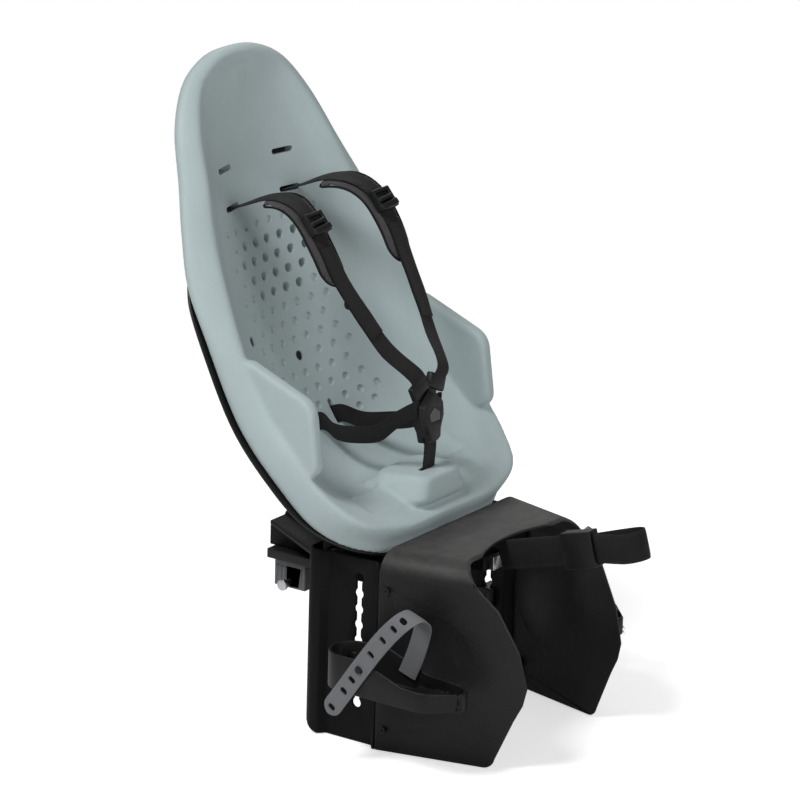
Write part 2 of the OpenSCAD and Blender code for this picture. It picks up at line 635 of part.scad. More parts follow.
lock_travel = 3;
block_x = tray_x0 + 9.6;
module footrest_lock(side) color(dark) mirrored_pair(side) translate([0, channel_mid, guide_z])
    rotate([0, 90, 0]) {
    translate([0, 0, slider_x - channel_wall_x - 4])
        cylinder(d = lock_d, h = block_x - slider_x + channel_wall_x + 2);
    translate([0, 0, block_x - 6 + lock_travel + 0.3]) cylinder(d = lock_head_d, h = 4);
}

// The rubber strap over the foot, with its row of holes
stud_y = -44;
stud_z = -56;
strap_x = tray_x1 + foot_strap_t / 2 + 0.3;
foot_path = [[strap_x + 7, -4, -118, 0, 0.81, 0.58], [strap_x + 2, -27, -82, 0, 0.81, 0.58],
    [strap_x, stud_y, stud_z, 0, 0.81, 0.58], [strap_x, -73, -16, 0, 0.81, 0.58],
    [strap_x - 3, -97, 12, 0, 0.85, 0.5], [strap_x - 17, -107, 21, 0, 0.9, 0.4],
    [tray_x0 + 28, -105, 14, 0, 0.95, 0.3], [tray_x0 + 11, -99, -4, 0, 0.95, 0.25],
    [tray_x0 + 6, -87, -40, 0, 0.95, 0.3], [tray_x0 + tray_wall + foot_strap_t / 2 + 0.5, -74, -72, 0,
        0.95, 0.3]];
foot_holes = 8;
// Distance between holes as a share of the strap, so that the fourth hole lies on the stud
foot_hole_step = 2 / 9 / 3.5;
foot_hole_l = 11;
foot_hole_w = 7;
function frame_at(p, t, lift) = let (a = across(open_along(p, t)), o = band_out(p, t),
    q = band_point(p, t, 0, lift), l = cross(o, a))
    [[a[0], l[0], o[0], q[0]], [a[1], l[1], o[1], q[1]], [a[2], l[2], o[2], q[2]], [0, 0, 0, 1]];
module foot_strap(side) color(rubber) mirrored_pair(side) difference() {
    band(foot_path, foot_strap_w, foot_strap_t, n = 30, tip = 0.035);
    for (k = [0 : foot_holes - 1]) multmatrix(frame_at(foot_path, (k + 0.5) * foot_hole_step, 0))
        long_hole(foot_hole_l, foot_hole_w, 30);
}
module strap_stud(side) color(black) mirrored_pair(side) translate([tray_x1 + 0.05, stud_y, stud_z])
    rotate([0, 90, 0]) {
    cylinder(d = 5, h = foot_strap_t + 1.5);
    translate([0, 0, foot_strap_t + 1]) cylinder(d = 9, h = 2);
}

// The buckle and its tongues, in the buckle's own plane
buckle_z = pan_z + 75;
buckle_y = 13;
buckle_lean = 6;
module in_buckle() { translate([0, buckle_y, buckle_z]) rotate([90 - buckle_lean, 0, 0]) children(); }
function from_buckle(x, y, z) = [x, buckle_y + y * sin(buckle_lean) - z * cos(buckle_lean),
    buckle_z + y * cos(buckle_lean) + z * sin(buckle_lean)];
function buckle_outline(k) = let (w = buckle_w / 2 * k, h = buckle_h / 2 * k)
    [[0, h], [-w, h * 0.5], [-w, -h * 0.05], [-w * 0.6, -h * 0.6], [-w * 0.5, -h], [w * 0.5, -h],
     [w * 0.6, -h * 0.6], [w, -h * 0.05], [w, h * 0.5]];
tongue_t = 3;
tongue_in = 12;
button_r = 11;
button_pocket = 6;
function button_outline(r) = [for (a = [18, 90, 162, 214, 326]) [r * cos(a), r * sin(a)]];
// Room above and below the crotch webbing in the buckle
web_slack = 0.55;
module buckle_body() color(dark) in_buckle() difference() {
    union() {
        translate([0, 0, -buckle_t / 2]) linear_extrude(height = buckle_t - 5) polygon(buckle_outline(1));
        translate([0, 0, buckle_t / 2 - 5.1]) linear_extrude(height = 2.6) polygon(buckle_outline(0.94));
        translate([0, 0, buckle_t / 2 - 2.6]) linear_extrude(height = 2.6) polygon(buckle_outline(0.86));
    }
    translate([0, 0, buckle_t / 2 - button_pocket]) linear_extrude(height = 20)
        polygon(button_outline(button_r + 0.4));
    translate([-buckle_w * 0.45, buckle_h / 2 - tongue_in, -tongue_t / 2 - 0.2])
        cube([buckle_w * 0.9, 40, tongue_t + 0.4]);
    translate([-web_w / 2 - 0.4, -buckle_h / 2 - 5, -web_t / 2 - web_slack])
        cube([web_w + 0.8, 14, web_t + 2 * web_slack]);
}
module buckle_button() color(padding) in_buckle()
    translate([0, 0, buckle_t / 2 - button_pocket + button_travel + 0.2])
        linear_extrude(height = button_pocket - button_travel + 1)
        polygon(button_outline(button_r));
tongue_tilt = 25;
module buckle_tongue(side) color(black) in_buckle() mirrored_pair(side)
    translate([0, buckle_h / 2, -tongue_t / 2])
    linear_extrude(height = tongue_t) difference() {
        union() {
            polygon([[1.5, -tongue_in + 0.4], [buckle_w * 0.38, -tongue_in + 0.4], [buckle_w * 0.42, 6],
                [1.5, 6]]);
            translate([18.5, 8]) rotate(-tongue_tilt) square([web_w + 7, 13], center = true);
        }
        translate([19, 9]) rotate(-tongue_tilt) square([web_w + 1, 4.5], center = true);
    }

// Shoulder harness: webbing from the slot over the shoulder down to the tongue
low_run = run_at(low_slot_z);
slot_out = seat_normal(low_run, slot_x);
slot_mouth = seat_point(low_run, slot_x);
web_x = [1, -0.2, 0.08];
function web_knot(p, w) = [p[0], p[1], p[2], w[0], w[1], w[2]];
shoulder_path = [web_knot(slot_mouth - slot_out * (shell_back + 2), web_x),
    web_knot(slot_mouth + slot_out * 3, web_x),
    web_knot(slot_mouth + [1, -56, 24], [1, -0.1, 0.05]), web_knot(slot_mouth + [5, -92, 28], [1, 0, 0]),
    web_knot(slot_mouth + [10, -122, 13], [1, 0, 0]), web_knot(slot_mouth + [12, -148, -20], [1, 0, 0]),
    web_knot(slot_mouth + [9, -170, -58], [1, 0, -0.1]),
        web_knot(slot_mouth + [1, -196, -96], [1, 0, -0.2]),
    web_knot([47, 44, buckle_z + 88], [1, 0, -0.3]),
        web_knot(from_buckle(29, buckle_h / 2 + 24, 6), [1, 0, -0.4]),
    web_knot(from_buckle(18.5, buckle_h / 2 + 7.5, tongue_t / 2 + web_t / 2 + 0.4), [1, 0, -0.46])];
pad_from = 0.19;
pad_to = 0.61;
adjuster_at = 0.43;
module shoulder_strap(side) color(webbing) mirrored_pair(side) {
    band(shoulder_path, web_w, web_t, n = 44);
}
module shoulder_pad(side) color(padding) mirrored_pair(side)
    band(shoulder_path, pad_w, pad_t, lift = -(web_t + pad_t) / 2 - 0.4, from = pad_from, to = pad_to,
        n = 20);
module strap_adjuster(side) color(black) mirrored_pair(side)
    multmatrix(frame_at(shoulder_path, adjuster_at, web_t / 2 + 1.1)) {
    difference() {
        translate([-web_w / 2 - 4.5, -14, 0]) cube([web_w + 9, 28, 7]);
        for (y = [-9, 3]) translate([-web_w / 2, y, 2]) cube([web_w, 6, 9]);
    }
    for (s = [-1, 1]) translate([s * (web_w / 2 + 2.8) - 1.7, -14, -web_t - 0.5])
        cube([3.4, 28, web_t + 1]);
}

// Hip straps come out of the lower back and meet the buckle beside its tongues
hip_mouth = seat_point(run_at(hip_slot_z), hip_x);
hip_path = [web_knot(hip_mouth - seat_normal(run_at(hip_slot_z), hip_x) * (shell_back + 2), [0, 0.35, 1]),
    web_knot(hip_mouth + [0.8, -12, 0], [0, 0.2, 1]), web_knot(hip_mouth + [9, -38, -6], [0.1, 0.2, 1]),
    web_knot(hip_mouth + [16, -68, -2], [0.1, 0.2, 1]), web_knot([40, 60, pan_z + 52], [0.2, 0.2, 1]),
    web_knot([38, 36, pan_z + 72], [0.3, 0.1, 1]),
        web_knot(from_buckle(buckle_w / 2 + 5, 10, -6), [0.2, 0, 1]),
    web_knot(from_buckle(buckle_w / 2 + web_t / 2 + 1.4, 12, 2), [0.1, 0, 1])];
module hip_strap(side) color(webbing) mirrored_pair(side) band(hip_path, web_w - 3, web_t, n = 26);

crotch_path = [[0, crotch_y, pan_z - 47, 1, 0, 0], [0, crotch_y, pan_z - 10, 1, 0, 0],
    web_knot(from_buckle(0, -buckle_h / 2 - 8, 0), [1, 0, 0]),
        web_knot(from_buckle(0, -buckle_h / 2 + 7, 0), [1, 0, 0])];
module crotch_strap() color(webbing) band(crotch_path, web_w, web_t, n = 12);
crotch_rod_d = 6;
module crotch_anchor() color(steel) translate([0, crotch_y + (web_t + crotch_rod_d) / 2 + 0.25, pan_z - 42])
    rotate([0, 90, 0]) cylinder(d = crotch_rod_d, h = web_w + 22, center = true);

// Rack clamp: a base that rests on the two rails, with jaws drawn together by one cross screw
base_h = 12;
base_half_w = rail_span / 2 + 25;
base_y0 = -16;
clamp_y = 159;
jaw_wall = 8;
jaw_open = 8;
jaw_drop = 20;
// Room between the jaws and the face that rests on the carrier
jaw_head = 2.3;
screw_z = -rail_d - 12;
nose_half_w = 20;
nose_y = -88;
nose_z = 24;
module clamp_base() color(black) difference() {
    union() {
        translate([-base_half_w, base_y0, 0]) cube([2 * base_half_w, clamp_y + jaw_len / 2 +
            6 - base_y0, base_h - 0.05]);
        translate([-24, clamp_y - 16, screw_z - 10]) cube([48, 32, -screw_z + 11]);
        for (y = [10, 60, 110]) for (s = [-1, 1]) translate([s * (base_half_w - 8) - 4, y, -6])
            cube([8, 16, 7]);
    }
    translate([0, clamp_y, screw_z]) rotate([0, 90, 0]) cylinder(d = screw_d + 0.1, h = 200, center = true);
    translate([-30, 20, -1]) cube([60, 90, base_h + 2]);
}
module clamp_jaw(side) color(rubber) mirrored_pair(side) difference() {
    union() {
        translate([rail_span / 2, clamp_y - jaw_len / 2, -rail_d - jaw_drop]) 
            cube([rail_d / 2 + jaw_wall, jaw_len, rail_d + jaw_drop - jaw_head]);
        translate([rail_span / 2 - 14, clamp_y - jaw_len / 2, -rail_d - jaw_drop])
            cube([15, jaw_len, jaw_drop - 0.3]);
    }
    translate([rail_span / 2, clamp_y, -rail_d / 2]) rotate([90, 0, 0])
        cylinder(d = rail_d + 0.2, h = jaw_len + 20, center = true);
    translate([0, clamp_y, screw_z]) rotate([0, 90, 0]) cylinder(d = screw_d + 0.16, h = 300);
    for (k = [-3 : 3]) translate([rail_span / 2 + rail_d / 2 + jaw_wall - 1, clamp_y + k * 6 - 1,
        -rail_d - jaw_drop + 3]) cube([4, 2, 24]);
}
screw_half = rail_span / 2 + rail_d / 2 + jaw_wall + jaw_open + 4;
module clamp_screw() color(steel) translate([0, clamp_y, screw_z]) rotate([0, 90, 0]) {
    translate([0, 0, -screw_half]) cylinder(d = screw_d, h = 2 * screw_half + 4);
    translate([0, 0, -screw_half - 5]) cylinder(d = screw_d + 6, h = 5);
}
knob_lobes = 6;
module clamp_knob() color(black) translate([screw_half + 0.3, clamp_y, screw_z]) rotate([0, 90, 0])
    difference() {
    union() {
        cylinder(d = knob_d, h = 16);
        cylinder(d = knob_d * 0.6, h = 20);
    }
    for (k = [0 : knob_lobes - 1]) rotate([0, 0, k * 360 / knob_lobes])
        translate([knob_d / 2 + 2, 0, -1]) cylinder(d = 12, h = 18);
    translate([0, 0, -1]) cylinder(d = screw_d + 0.1, h = 5);
}

// The safety strap that goes round the bicycle's seat tube
safety_t = 2.4;
safety_y = -100;
safety_z = 44;
safety_tilt = 16;
keeper_l = 44;
// Length over which the loop opens, and the keeper's place just short of it
loop_neck = 50;
keeper_at = safety_reach - safety_loop_r - loop_neck - keeper_l - 2;
module along_safety() { translate([0, safety_y, safety_z]) rotate([-safety_tilt, 0, 0]) children(); }
module drop_shape(grow, stem, top = 0) {
    r = safety_loop_r + grow;
    reach_y = safety_reach - safety_loop_r;
    polygon(concat([[stem, -top], [-stem, -top], [-stem, -reach_y + loop_neck]],
        arc(0, -reach_y, r, 160, 380, 24),
        [[stem, -reach_y + loop_neck]]));
}
module safety_strap() color(webbing) along_safety() translate([0, 0, -safety_w / 2])
    linear_extrude(height = safety_w)
    difference() {
        drop_shape(0, safety_t + 0.5);
        drop_shape(-safety_t, 0.5, safety_t);
    }
module safety_keeper() color(dark) along_safety() translate([0, -keeper_at - keeper_l / 2, 0])
    difference() {
    cube([2 * safety_t + 14, keeper_l, safety_w + 9], center = true);
    cube([2 * safety_t + 1.6, keeper_l + 2, safety_w + 0.8], center = true);
}
module safety_anchor() color(steel) translate([0, nose_y, 0]) {
    translate([-10, -8, nose_z + 1]) cube([20, 7.9, deck_z - nose_z - 2]);
}

foam_liner();
seat_shell();
liner_plugs();
shell_screws();
harness_anchor_bar();
carrier_body();
rear_reflector();
leg_shield();
shield_screws();
footrest(1);  // footrest_left
footrest(-1);  // footrest_right
footrest_lock(1);  // footrest_lock_left
footrest_lock(-1);  // footrest_lock_right
foot_strap(1);  // foot_strap_left
foot_strap(-1);  // foot_strap_right
strap_stud(1);  // strap_stud_left
strap_stud(-1);  // strap_stud_right
shoulder_strap(1);  // shoulder_strap_left
shoulder_strap(-1);  // shoulder_strap_right
shoulder_pad(1);  // shoulder_pad_left
shoulder_pad(-1);  // shoulder_pad_right
strap_adjuster(1);  // strap_adjuster_left
strap_adjuster(-1);  // strap_adjuster_right
hip_strap(1);  // hip_strap_left
hip_strap(-1);  // hip_strap_right
buckle_body();
buckle_button();
buckle_tongue(1);  // buckle_tongue_left
buckle_tongue(-1);  // buckle_tongue_right
crotch_strap();
crotch_anchor();
clamp_base();
clamp_jaw(1);  // clamp_jaw_left
clamp_jaw(-1);  // clamp_jaw_right
clamp_screw();
clamp_knob();
safety_strap();
safety_keeper();
safety_anchor();
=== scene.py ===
"""Looks of a rear child bicycle seat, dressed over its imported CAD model."""
import math

import bmesh
import bpy
import numpy as np
from mathutils import Matrix, Vector


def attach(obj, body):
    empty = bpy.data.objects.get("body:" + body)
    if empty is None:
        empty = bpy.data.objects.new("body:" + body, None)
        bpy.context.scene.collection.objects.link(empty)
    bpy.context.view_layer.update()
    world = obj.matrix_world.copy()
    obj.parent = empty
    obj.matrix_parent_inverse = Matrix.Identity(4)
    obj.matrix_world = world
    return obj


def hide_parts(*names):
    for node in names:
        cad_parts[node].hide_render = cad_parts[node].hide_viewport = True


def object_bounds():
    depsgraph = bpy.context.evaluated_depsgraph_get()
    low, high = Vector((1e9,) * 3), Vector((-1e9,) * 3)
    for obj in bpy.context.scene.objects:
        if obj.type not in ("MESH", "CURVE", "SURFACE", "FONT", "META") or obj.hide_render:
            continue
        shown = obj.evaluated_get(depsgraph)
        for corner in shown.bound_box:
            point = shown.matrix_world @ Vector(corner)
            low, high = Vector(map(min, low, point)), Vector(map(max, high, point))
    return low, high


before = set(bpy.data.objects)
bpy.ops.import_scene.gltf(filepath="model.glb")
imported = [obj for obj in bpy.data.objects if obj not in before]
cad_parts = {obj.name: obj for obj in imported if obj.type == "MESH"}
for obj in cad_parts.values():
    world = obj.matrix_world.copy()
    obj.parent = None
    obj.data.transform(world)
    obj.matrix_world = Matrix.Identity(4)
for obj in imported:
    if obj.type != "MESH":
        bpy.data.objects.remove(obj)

bl_info = {
    "name": "Child Bicycle Seat",
    "version": (1, 0, 0),
    "blender": (4, 5, 0),
    "location": "3D View > Sidebar > Child Seat",
    "description": "Foam bucket, harness, leg guards and footrests of a rear child bicycle seat",
    "category": "Add Mesh",
}

MM = 0.001
CAD_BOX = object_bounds()
SIDES = (("left", 1), ("right", -1))


# Sizes and colours that a user would change

class ChildSeatSizes(bpy.types.PropertyGroup):
    foam_voxel: bpy.props.FloatProperty(
        name="Foam Detail", description="Size of the cells that the foam bucket is blended from",
        default=0.003, min=0.002, max=0.006, unit="LENGTH")
    dimple_diameter: bpy.props.FloatProperty(
        name="Dimple Diameter", description="Width of the blind dimples in the backrest",
        default=0.0104, min=0.006, max=0.012, unit="LENGTH")
    dimple_depth: bpy.props.FloatProperty(
        name="Dimple Depth", description="Depth of the blind dimples in the backrest",
        default=0.003, min=0.001, max=0.004, unit="LENGTH")
    recess_depth: bpy.props.FloatProperty(
        name="Seat Recess", description="How far the seating area lies below the front lip",
        default=0.006, min=0.0, max=0.008, unit="LENGTH")
    edge_round: bpy.props.FloatProperty(
        name="Moulded Edge", description="Rounding of the moulded plastic edges",
        default=0.0014, min=0.0004, max=0.002, unit="LENGTH")
    pad_swell: bpy.props.FloatProperty(
        name="Pad Swell", description="How far a shoulder pad's cover may puff up",
        default=0.003, min=0.001, max=0.006, unit="LENGTH")


def colour(name, description, value):
    return bpy.props.FloatVectorProperty(
        name=name, description=description, subtype="COLOR", size=3, min=0.0, max=1.0, default=value)


class ChildSeatColours(bpy.types.PropertyGroup):
    foam: colour("Foam", "Grey-green moulded foam", (0.37, 0.442, 0.45))
    foam_shade: colour("Foam Shade", "Darker patches of the foam", (0.335, 0.405, 0.412))
    shell: colour("Shell", "Black plastic of the hard shell and small parts", (0.0055, 0.0055, 0.006))
    body: colour("Body", "Black plastic of the columns", (0.0035, 0.0035, 0.004))
    shield: colour("Leg Shield", "Charcoal plastic of the leg shield", (0.011, 0.011, 0.0115))
    webbing: colour("Webbing", "Charcoal webbing", (0.0095, 0.009, 0.0093))
    padding: colour("Padding", "Fabric of the shoulder pads", (0.034, 0.033, 0.035))
    piping: colour("Piping", "Binding round the shoulder pads", (0.012, 0.011, 0.012))
    buckle: colour("Buckle", "Plastic of the buckle", (0.014, 0.013, 0.014))
    button: colour("Button", "Release button", (0.1, 0.097, 0.1))
    strap_rubber: colour("Foot Strap", "Grey rubber of the foot straps", (0.045, 0.047, 0.048))
    jaw_rubber: colour("Clamp Jaw", "Grey rubber of the clamping jaws", (0.11, 0.115, 0.118))
    steel: colour("Steel", "Plated steel", (0.55, 0.56, 0.58))
    reflector: colour("Reflector", "Red reflector", (0.42, 0.012, 0.012))


def sizes():
    return bpy.context.scene.child_seat_sizes


def colours():
    return bpy.context.scene.child_seat_colours


# Tools for selecting, making and finishing pieces

def deselect():
    if bpy.context.mode != "OBJECT":
        bpy.ops.object.mode_set(mode="OBJECT")
    bpy.ops.object.select_all(action="DESELECT")


def pick(*objs):
    deselect()
    for o in objs:
        o.select_set(True)
    bpy.context.view_layer.objects.active = objs[0]


def modify(obj, kind, **settings):
    """Adds a modifier with these settings and applies it."""
    m = obj.modifiers.new(kind.title(), kind)
    for key, value in settings.items():
        setattr(m, key, value)
    pick(obj)
    bpy.ops.object.modifier_apply(modifier=m.name)


def smooth_shade(obj, angle=35):
    pick(obj)
    bpy.ops.object.shade_smooth_by_angle(angle=math.radians(angle))


def mesh_piece(name, points, faces, uvs=None):
    """A new object from points in millimetres. uvs gives one pair a point."""
    mesh = bpy.data.meshes.new(name)
    mesh.from_pydata([tuple(v * MM for v in p) for p in points], [], [tuple(f) for f in faces])
    if uvs is not None:
        layer = mesh.uv_layers.new(name="UVMap")
        for loop in mesh.loops:
            layer.data[loop.index].uv = uvs[loop.vertex_index]
    obj = bpy.data.objects.new(name, mesh)
    bpy.context.scene.collection.objects.link(obj)
    return obj


def dress(obj, body, slot, material, *nodes):
    """Gives a finished piece its material and its body, and hides the CAD nodes it stands for. slot, the name
    of its finish, is not used.
    """
    obj.data.materials.clear()
    obj.data.materials.append(material)
    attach(obj, body)
    if nodes:
        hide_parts(*nodes)
    return obj


def edit_all(obj):
    pick(obj)
    bpy.ops.object.mode_set(mode="EDIT")
    bpy.ops.mesh.select_all(action="SELECT")


def face_out(obj):
    """Turns the faces of a closed piece outward."""
    edit_all(obj)
    bpy.ops.mesh.normals_make_consistent(inside=False)
    bpy.ops.object.mode_set(mode="OBJECT")


def merge(*objs):
    """Joins pieces into the first one."""
    pick(*objs)
    bpy.ops.object.join()


def in_metres(point):
    return [v * MM for v in point]


def cutter(name):
    """An empty mesh that primitives are added to in edit mode."""
    obj = mesh_piece(name, [], [])
    pick(obj)
    bpy.ops.object.mode_set(mode="EDIT")
    return obj


def cut(obj, tool):
    deselect()
    modify(obj, "BOOLEAN", operation="DIFFERENCE", object=tool, solver="MANIFOLD")
    bpy.data.objects.remove(tool)


def drum(place, radius, depth, turn=(0, 0, 0), sides=32):
    """Adds a cylinder to the mesh in edit mode, in millimetres."""
    bpy.ops.mesh.primitive_cylinder_add(
        vertices=sides, radius=radius * MM, depth=depth * MM, location=in_metres(place), rotation=turn)


def pit(place, turn, narrow, wide, depth, sides):
    """Adds a cone to the mesh in edit mode, sizes in metres and its place in millimetres."""
    bpy.ops.mesh.primitive_cone_add(
        vertices=sides, radius1=narrow, radius2=wide, depth=depth, location=in_metres(place), rotation=turn)


def hull_of_mesh():
    """Wraps what is in the mesh in edit mode in its convex hull, and leaves edit mode."""
    bpy.ops.mesh.select_all(action="SELECT")
    bpy.ops.mesh.convex_hull()
    bpy.ops.object.mode_set(mode="OBJECT")


def long_hole(bm, length, width, depth, place, steps=12):
    """Adds a prism with round ends. place turns its own x, y and z into a point, in millimetres."""
    ring = []
    for end in (1, -1):
        for k in range(steps + 1):
            a = math.radians(-90 * end + 180 / steps * k)
            ring.append((end * (length - width) / 2 + width / 2 * math.cos(a), width / 2 * math.sin(a)))
    low = [bm.verts.new(place(x, y, -depth / 2) * MM) for x, y in ring]
    top = [bm.verts.new(place(x, y, depth / 2) * MM) for x, y in ring]
    bm.faces.new(low[::-1])
    bm.faces.new(top)
    for i in range(len(ring)):
        j = (i + 1) % len(ring)
        bm.faces.new((low[i], low[j], top[j], top[i]))


MERGE_ANGLE, BEVEL_ANGLE, SMOOTH_ANGLE = 1.0, 32, 38


def softened(node, name, width, segments=2):
    """A copy of a CAD solid with its facets merged and its edges rounded."""
    obj = bpy.data.objects.new(name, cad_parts[node].data.copy())
    bpy.context.scene.collection.objects.link(obj)
    edit_all(obj)
    bpy.ops.mesh.remove_doubles(threshold=0.00001)
    bpy.ops.mesh.dissolve_limited(angle_limit=math.radians(MERGE_ANGLE))
    bpy.ops.object.mode_set(mode="OBJECT")
    modify(obj, "BEVEL", width=width, segments=segments, limit_method="ANGLE",
           angle_limit=math.radians(BEVEL_ANGLE), use_clamp_overlap=False, miter_outer="MITER_ARC")
    smooth_shade(obj, SMOOTH_ANGLE)
    return obj


def cad_piece(node, name, width, slot, look, body="seat", segments=2):
    """A CAD solid with rounded edges that stands for its node."""
    return dress(softened(node, name, width, segments), body, slot, material(look), node)


# The bucket's form: the same stations round its edge as in the part's source, in millimetres

PAN_Z = 123.0
SPINE = [(0, 62, 0), (0, 80, 0), (0, 100, 1), (0, 124, 7), (0, 152, 24), (0, 183, 66), (0, 220, 140),
         (0, 247, 216), (0, 268, 276), (0, 284, 328), (0, 295, 368), (0, 303, 400), (0, 307, 424),
         (0, 308, 440)]
CREST = [(0, 0, -27), (80, -1, -26), (136, 14, -12), (164, 46, 14), (176, 86, 54), (177, 133, 112),
         (168, 172, 180), (150, 212, 246), (133, 239, 296), (119, 258, 344), (100, 284, 398), (74, 304, 440),
         (39, 311, 461), (0, 314, 466)]
CORNER = [(0, -24, -36), (86, -24, -36), (152, -12, -22), (182, 22, 6), (194, 66, 48), (193, 118, 104),
          (186, 162, 176), (168, 203, 244), (151, 232, 298), (135, 253, 348), (115, 281, 406), (84, 302, 452),
          (44, 310, 474), (0, 313, 479)]
EDGE = [(0, -16, -58), (86, -16, -58), (152, 4, -44), (186, 40, -20), (200, 82, 22), (205, 140, 89),
        (206, 190, 186), (197, 224, 244), (178, 249, 300), (156, 271, 350), (132, 297, 410), (97, 314, 456),
        (50, 322, 479), (0, 325, 484)]
SPINE, CREST, CORNER, EDGE = (np.array(p, float) + (0, 0, PAN_Z) for p in (SPINE, CREST, CORNER, EDGE))
FOAM_T, RIM_BACK, SHELL_WALL, LINER_GAP, SHELL_SHOW = 14.0, 14.0, 3.5, 0.3, 3.0
SHELL_BACK = FOAM_T + LINER_GAP + SHELL_WALL
BACK_END = 0.92


def unit(v):
    return v / np.linalg.norm(v)


def smooth(f):
    f = min(max(f, 0.0), 1.0)
    return f * f * (3 - 2 * f)


def spline(a, b, c, d, f):
    bend, twist = 2 * a - 5 * b + 4 * c - d, 3 * b - a - 3 * c + d
    return 0.5 * (2 * b + (c - a) * f + bend * f * f + twist * f ** 3)


def station_knot(p, i):
    if i < 0:
        return p[-i] * (-1, 1, 1)
    if i > len(p) - 1:
        return p[2 * (len(p) - 1) - i] * (-1, 1, 1)
    return p[i]


def along(p, t):
    s = t * (len(p) - 1)
    i = min(int(math.floor(s)), len(p) - 2)
    return spline(*(station_knot(p, i + k) for k in (-1, 0, 1, 2)), s - i)


def bowl(r):
    return 0.85 * r * r + 0.15 * smooth((r - 0.8) / 0.2)


def up_spine(t):
    return unit(along(SPINE, min(t + 0.02, 1)) - along(SPINE, max(t - 0.02, 0)))


def out_spine(t):
    u = up_spine(t)
    return np.array((0, -u[2], u[1]))


class Row:
    """One row of the bucket, from its spine to its edge."""

    def __init__(self, t):
        self.spine, self.crest, self.corner, self.edge = (along(p, t) for p in (SPINE, CREST, CORNER, EDGE))
        self.out = out_spine(t)
        reach = self.crest - self.spine
        self.rise = float(reach @ self.out)
        self.flat = reach - self.out * self.rise
        self.inboard = -unit(self.flat)
        self.t = t

    def inner(self, r):
        return self.spine + self.flat * r + self.out * self.rise * bowl(r)

    def outward(self, r):
        slope = (bowl(r + 0.01) - bowl(r - 0.01)) / 0.02
        return unit(self.out * np.linalg.norm(self.flat) - unit(self.flat) * self.rise * slope)

    def behind(self, r, d):
        return self.inner(r) - self.outward(r) * d


def foam_row(t, cols, bends):
    w = Row(t)
    back = w.edge - w.out * RIM_BACK + w.inboard * 8
    last = w.behind(BACK_END, FOAM_T)
    band = w.corner - w.crest
    knots = [w.crest - band * 0.7, w.crest, w.corner, w.edge, back, last]
    row = [w.inner(j / cols) for j in range(cols + 1)]
    for k in range(3):
        row += [spline(*knots[k:k + 4], f / bends) for f in range(1, bends + 1)]
    return row + [w.behind(j / cols * BACK_END, FOAM_T) for j in range(cols, -1, -1)]


def shell_row(t, cols):
    w = Row(t)
    show = SHELL_SHOW - 9 * smooth((t - 0.45) / 0.12) - 9 * smooth((0.3 - t) / 0.12)
    drawn = 0.55 * smooth((t - 0.5) / 0.14)
    d, s = FOAM_T + LINER_GAP, RIM_BACK + LINER_GAP + 0.4
    n, q = w.out, w.inboard
    outer, near = w.behind(BACK_END, d + SHELL_WALL), w.behind(BACK_END, d)
    a, b = w.edge - n * (s + SHELL_WALL) + q * 9, w.edge - n * s + q * 8
    far, close = (outer - a - n * 2) * drawn, (near - b - n * 2) * drawn
    flange = [a + far, a - q * (9 + show - 0.8) + far, (a + b) / 2 - q * (8.5 + show) + (far + close) / 2,
              b - q * (8 + show - 0.8) + close, b + close]
    return ([w.behind(j / cols * BACK_END, d + SHELL_WALL) for j in range(cols + 1)] + flange
            + [w.behind(j / cols * BACK_END, d) for j in range(cols, -1, -1)])


def half_skin(name, rows, turned):
    """Quads between neighbouring rows, mirrored and welded down the middle."""
    m = len(rows[0])
    points = [p for row in rows for p in row]
    faces = []
    for i in range(len(rows) - 1):
        for j in range(m - 1):
            q = (i * m + j, (i + 1) * m + j, (i + 1) * m + j + 1, i * m + j + 1)
            faces.append(q if turned else q[::-1])
    obj = mesh_piece(name, points, faces)
    modify(obj, "MIRROR", use_axis=(True, False, False), use_clip=True, use_mirror_merge=True,
           merge_threshold=0.0004)
    edit_all(obj)
    bpy.ops.mesh.remove_doubles(threshold=0.00002)
    face_out(obj)
    return obj


SPINE_STEPS = 120
SPINE_T = [i / SPINE_STEPS for i in range(SPINE_STEPS + 1)]
SPINE_POINTS = [along(SPINE, t) for t in SPINE_T]
SPINE_RUN = np.concatenate(([0], np.cumsum(np.linalg.norm(np.diff(SPINE_POINTS, axis=0), axis=1))))


def station(d):
    return float(np.interp(d, SPINE_RUN, SPINE_T))


def run_at(z):
    return float(np.interp(z, [p[2] for p in SPINE_POINTS], SPINE_RUN))


def on_seat(d, x):
    """The point and the outward direction on the seat's surface, d along its spine and x beside it."""
    w = Row(station(d))
    r0 = abs(x) / w.crest[0] if w.crest[0] > 1 else 0
    w = Row(station(d - float(w.flat @ up_spine(w.t)) * r0))
    r = min(abs(x) / w.crest[0], 1) if w.crest[0] > 1 else 0
    flip = np.array((-1, 1, 1)) if x < 0 else 1
    return w.inner(r) * flip, w.outward(r) * flip


def seat_turn(n):
    return (math.acos(n[2]), 0, math.pi / 2 + math.atan2(n[1], n[0]))


def turned(angles):
    """The matrix of three turns, round X first."""
    axis = Matrix.Identity(3)
    for a, k in zip(angles, "XYZ"):
        axis = Matrix.Rotation(a, 3, k) @ axis
    return axis


# Places that several pieces share, in millimetres

WEB_W, WEB_T = 25.0, 1.8
SLOT_X, LOW_SLOT_Z, HIGH_SLOT_Z = 59.0, 423.0, 471.0
HIP_X, HIP_Z, CROTCH_Y = 20.0, 166.0, 12.0
SLOT_L, SLOT_W = WEB_W + 9, 7.0
VENT_D, VENT_PITCH, VENT_ROW = 10.5, 25.0, 21.5
VENT_COUNTS, TOP_VENT_Z, LOW_DIMPLE_Z = (5, 6, 5, 4), 375, 152
PLUG_D = 12.0
PLUGS = ((run_at(235), 0.0), (run_at(270), 100.0), (run_at(270), -100.0))
BOLTS = tuple((x, y) for x in (-30, 30) for y in (80, 104))


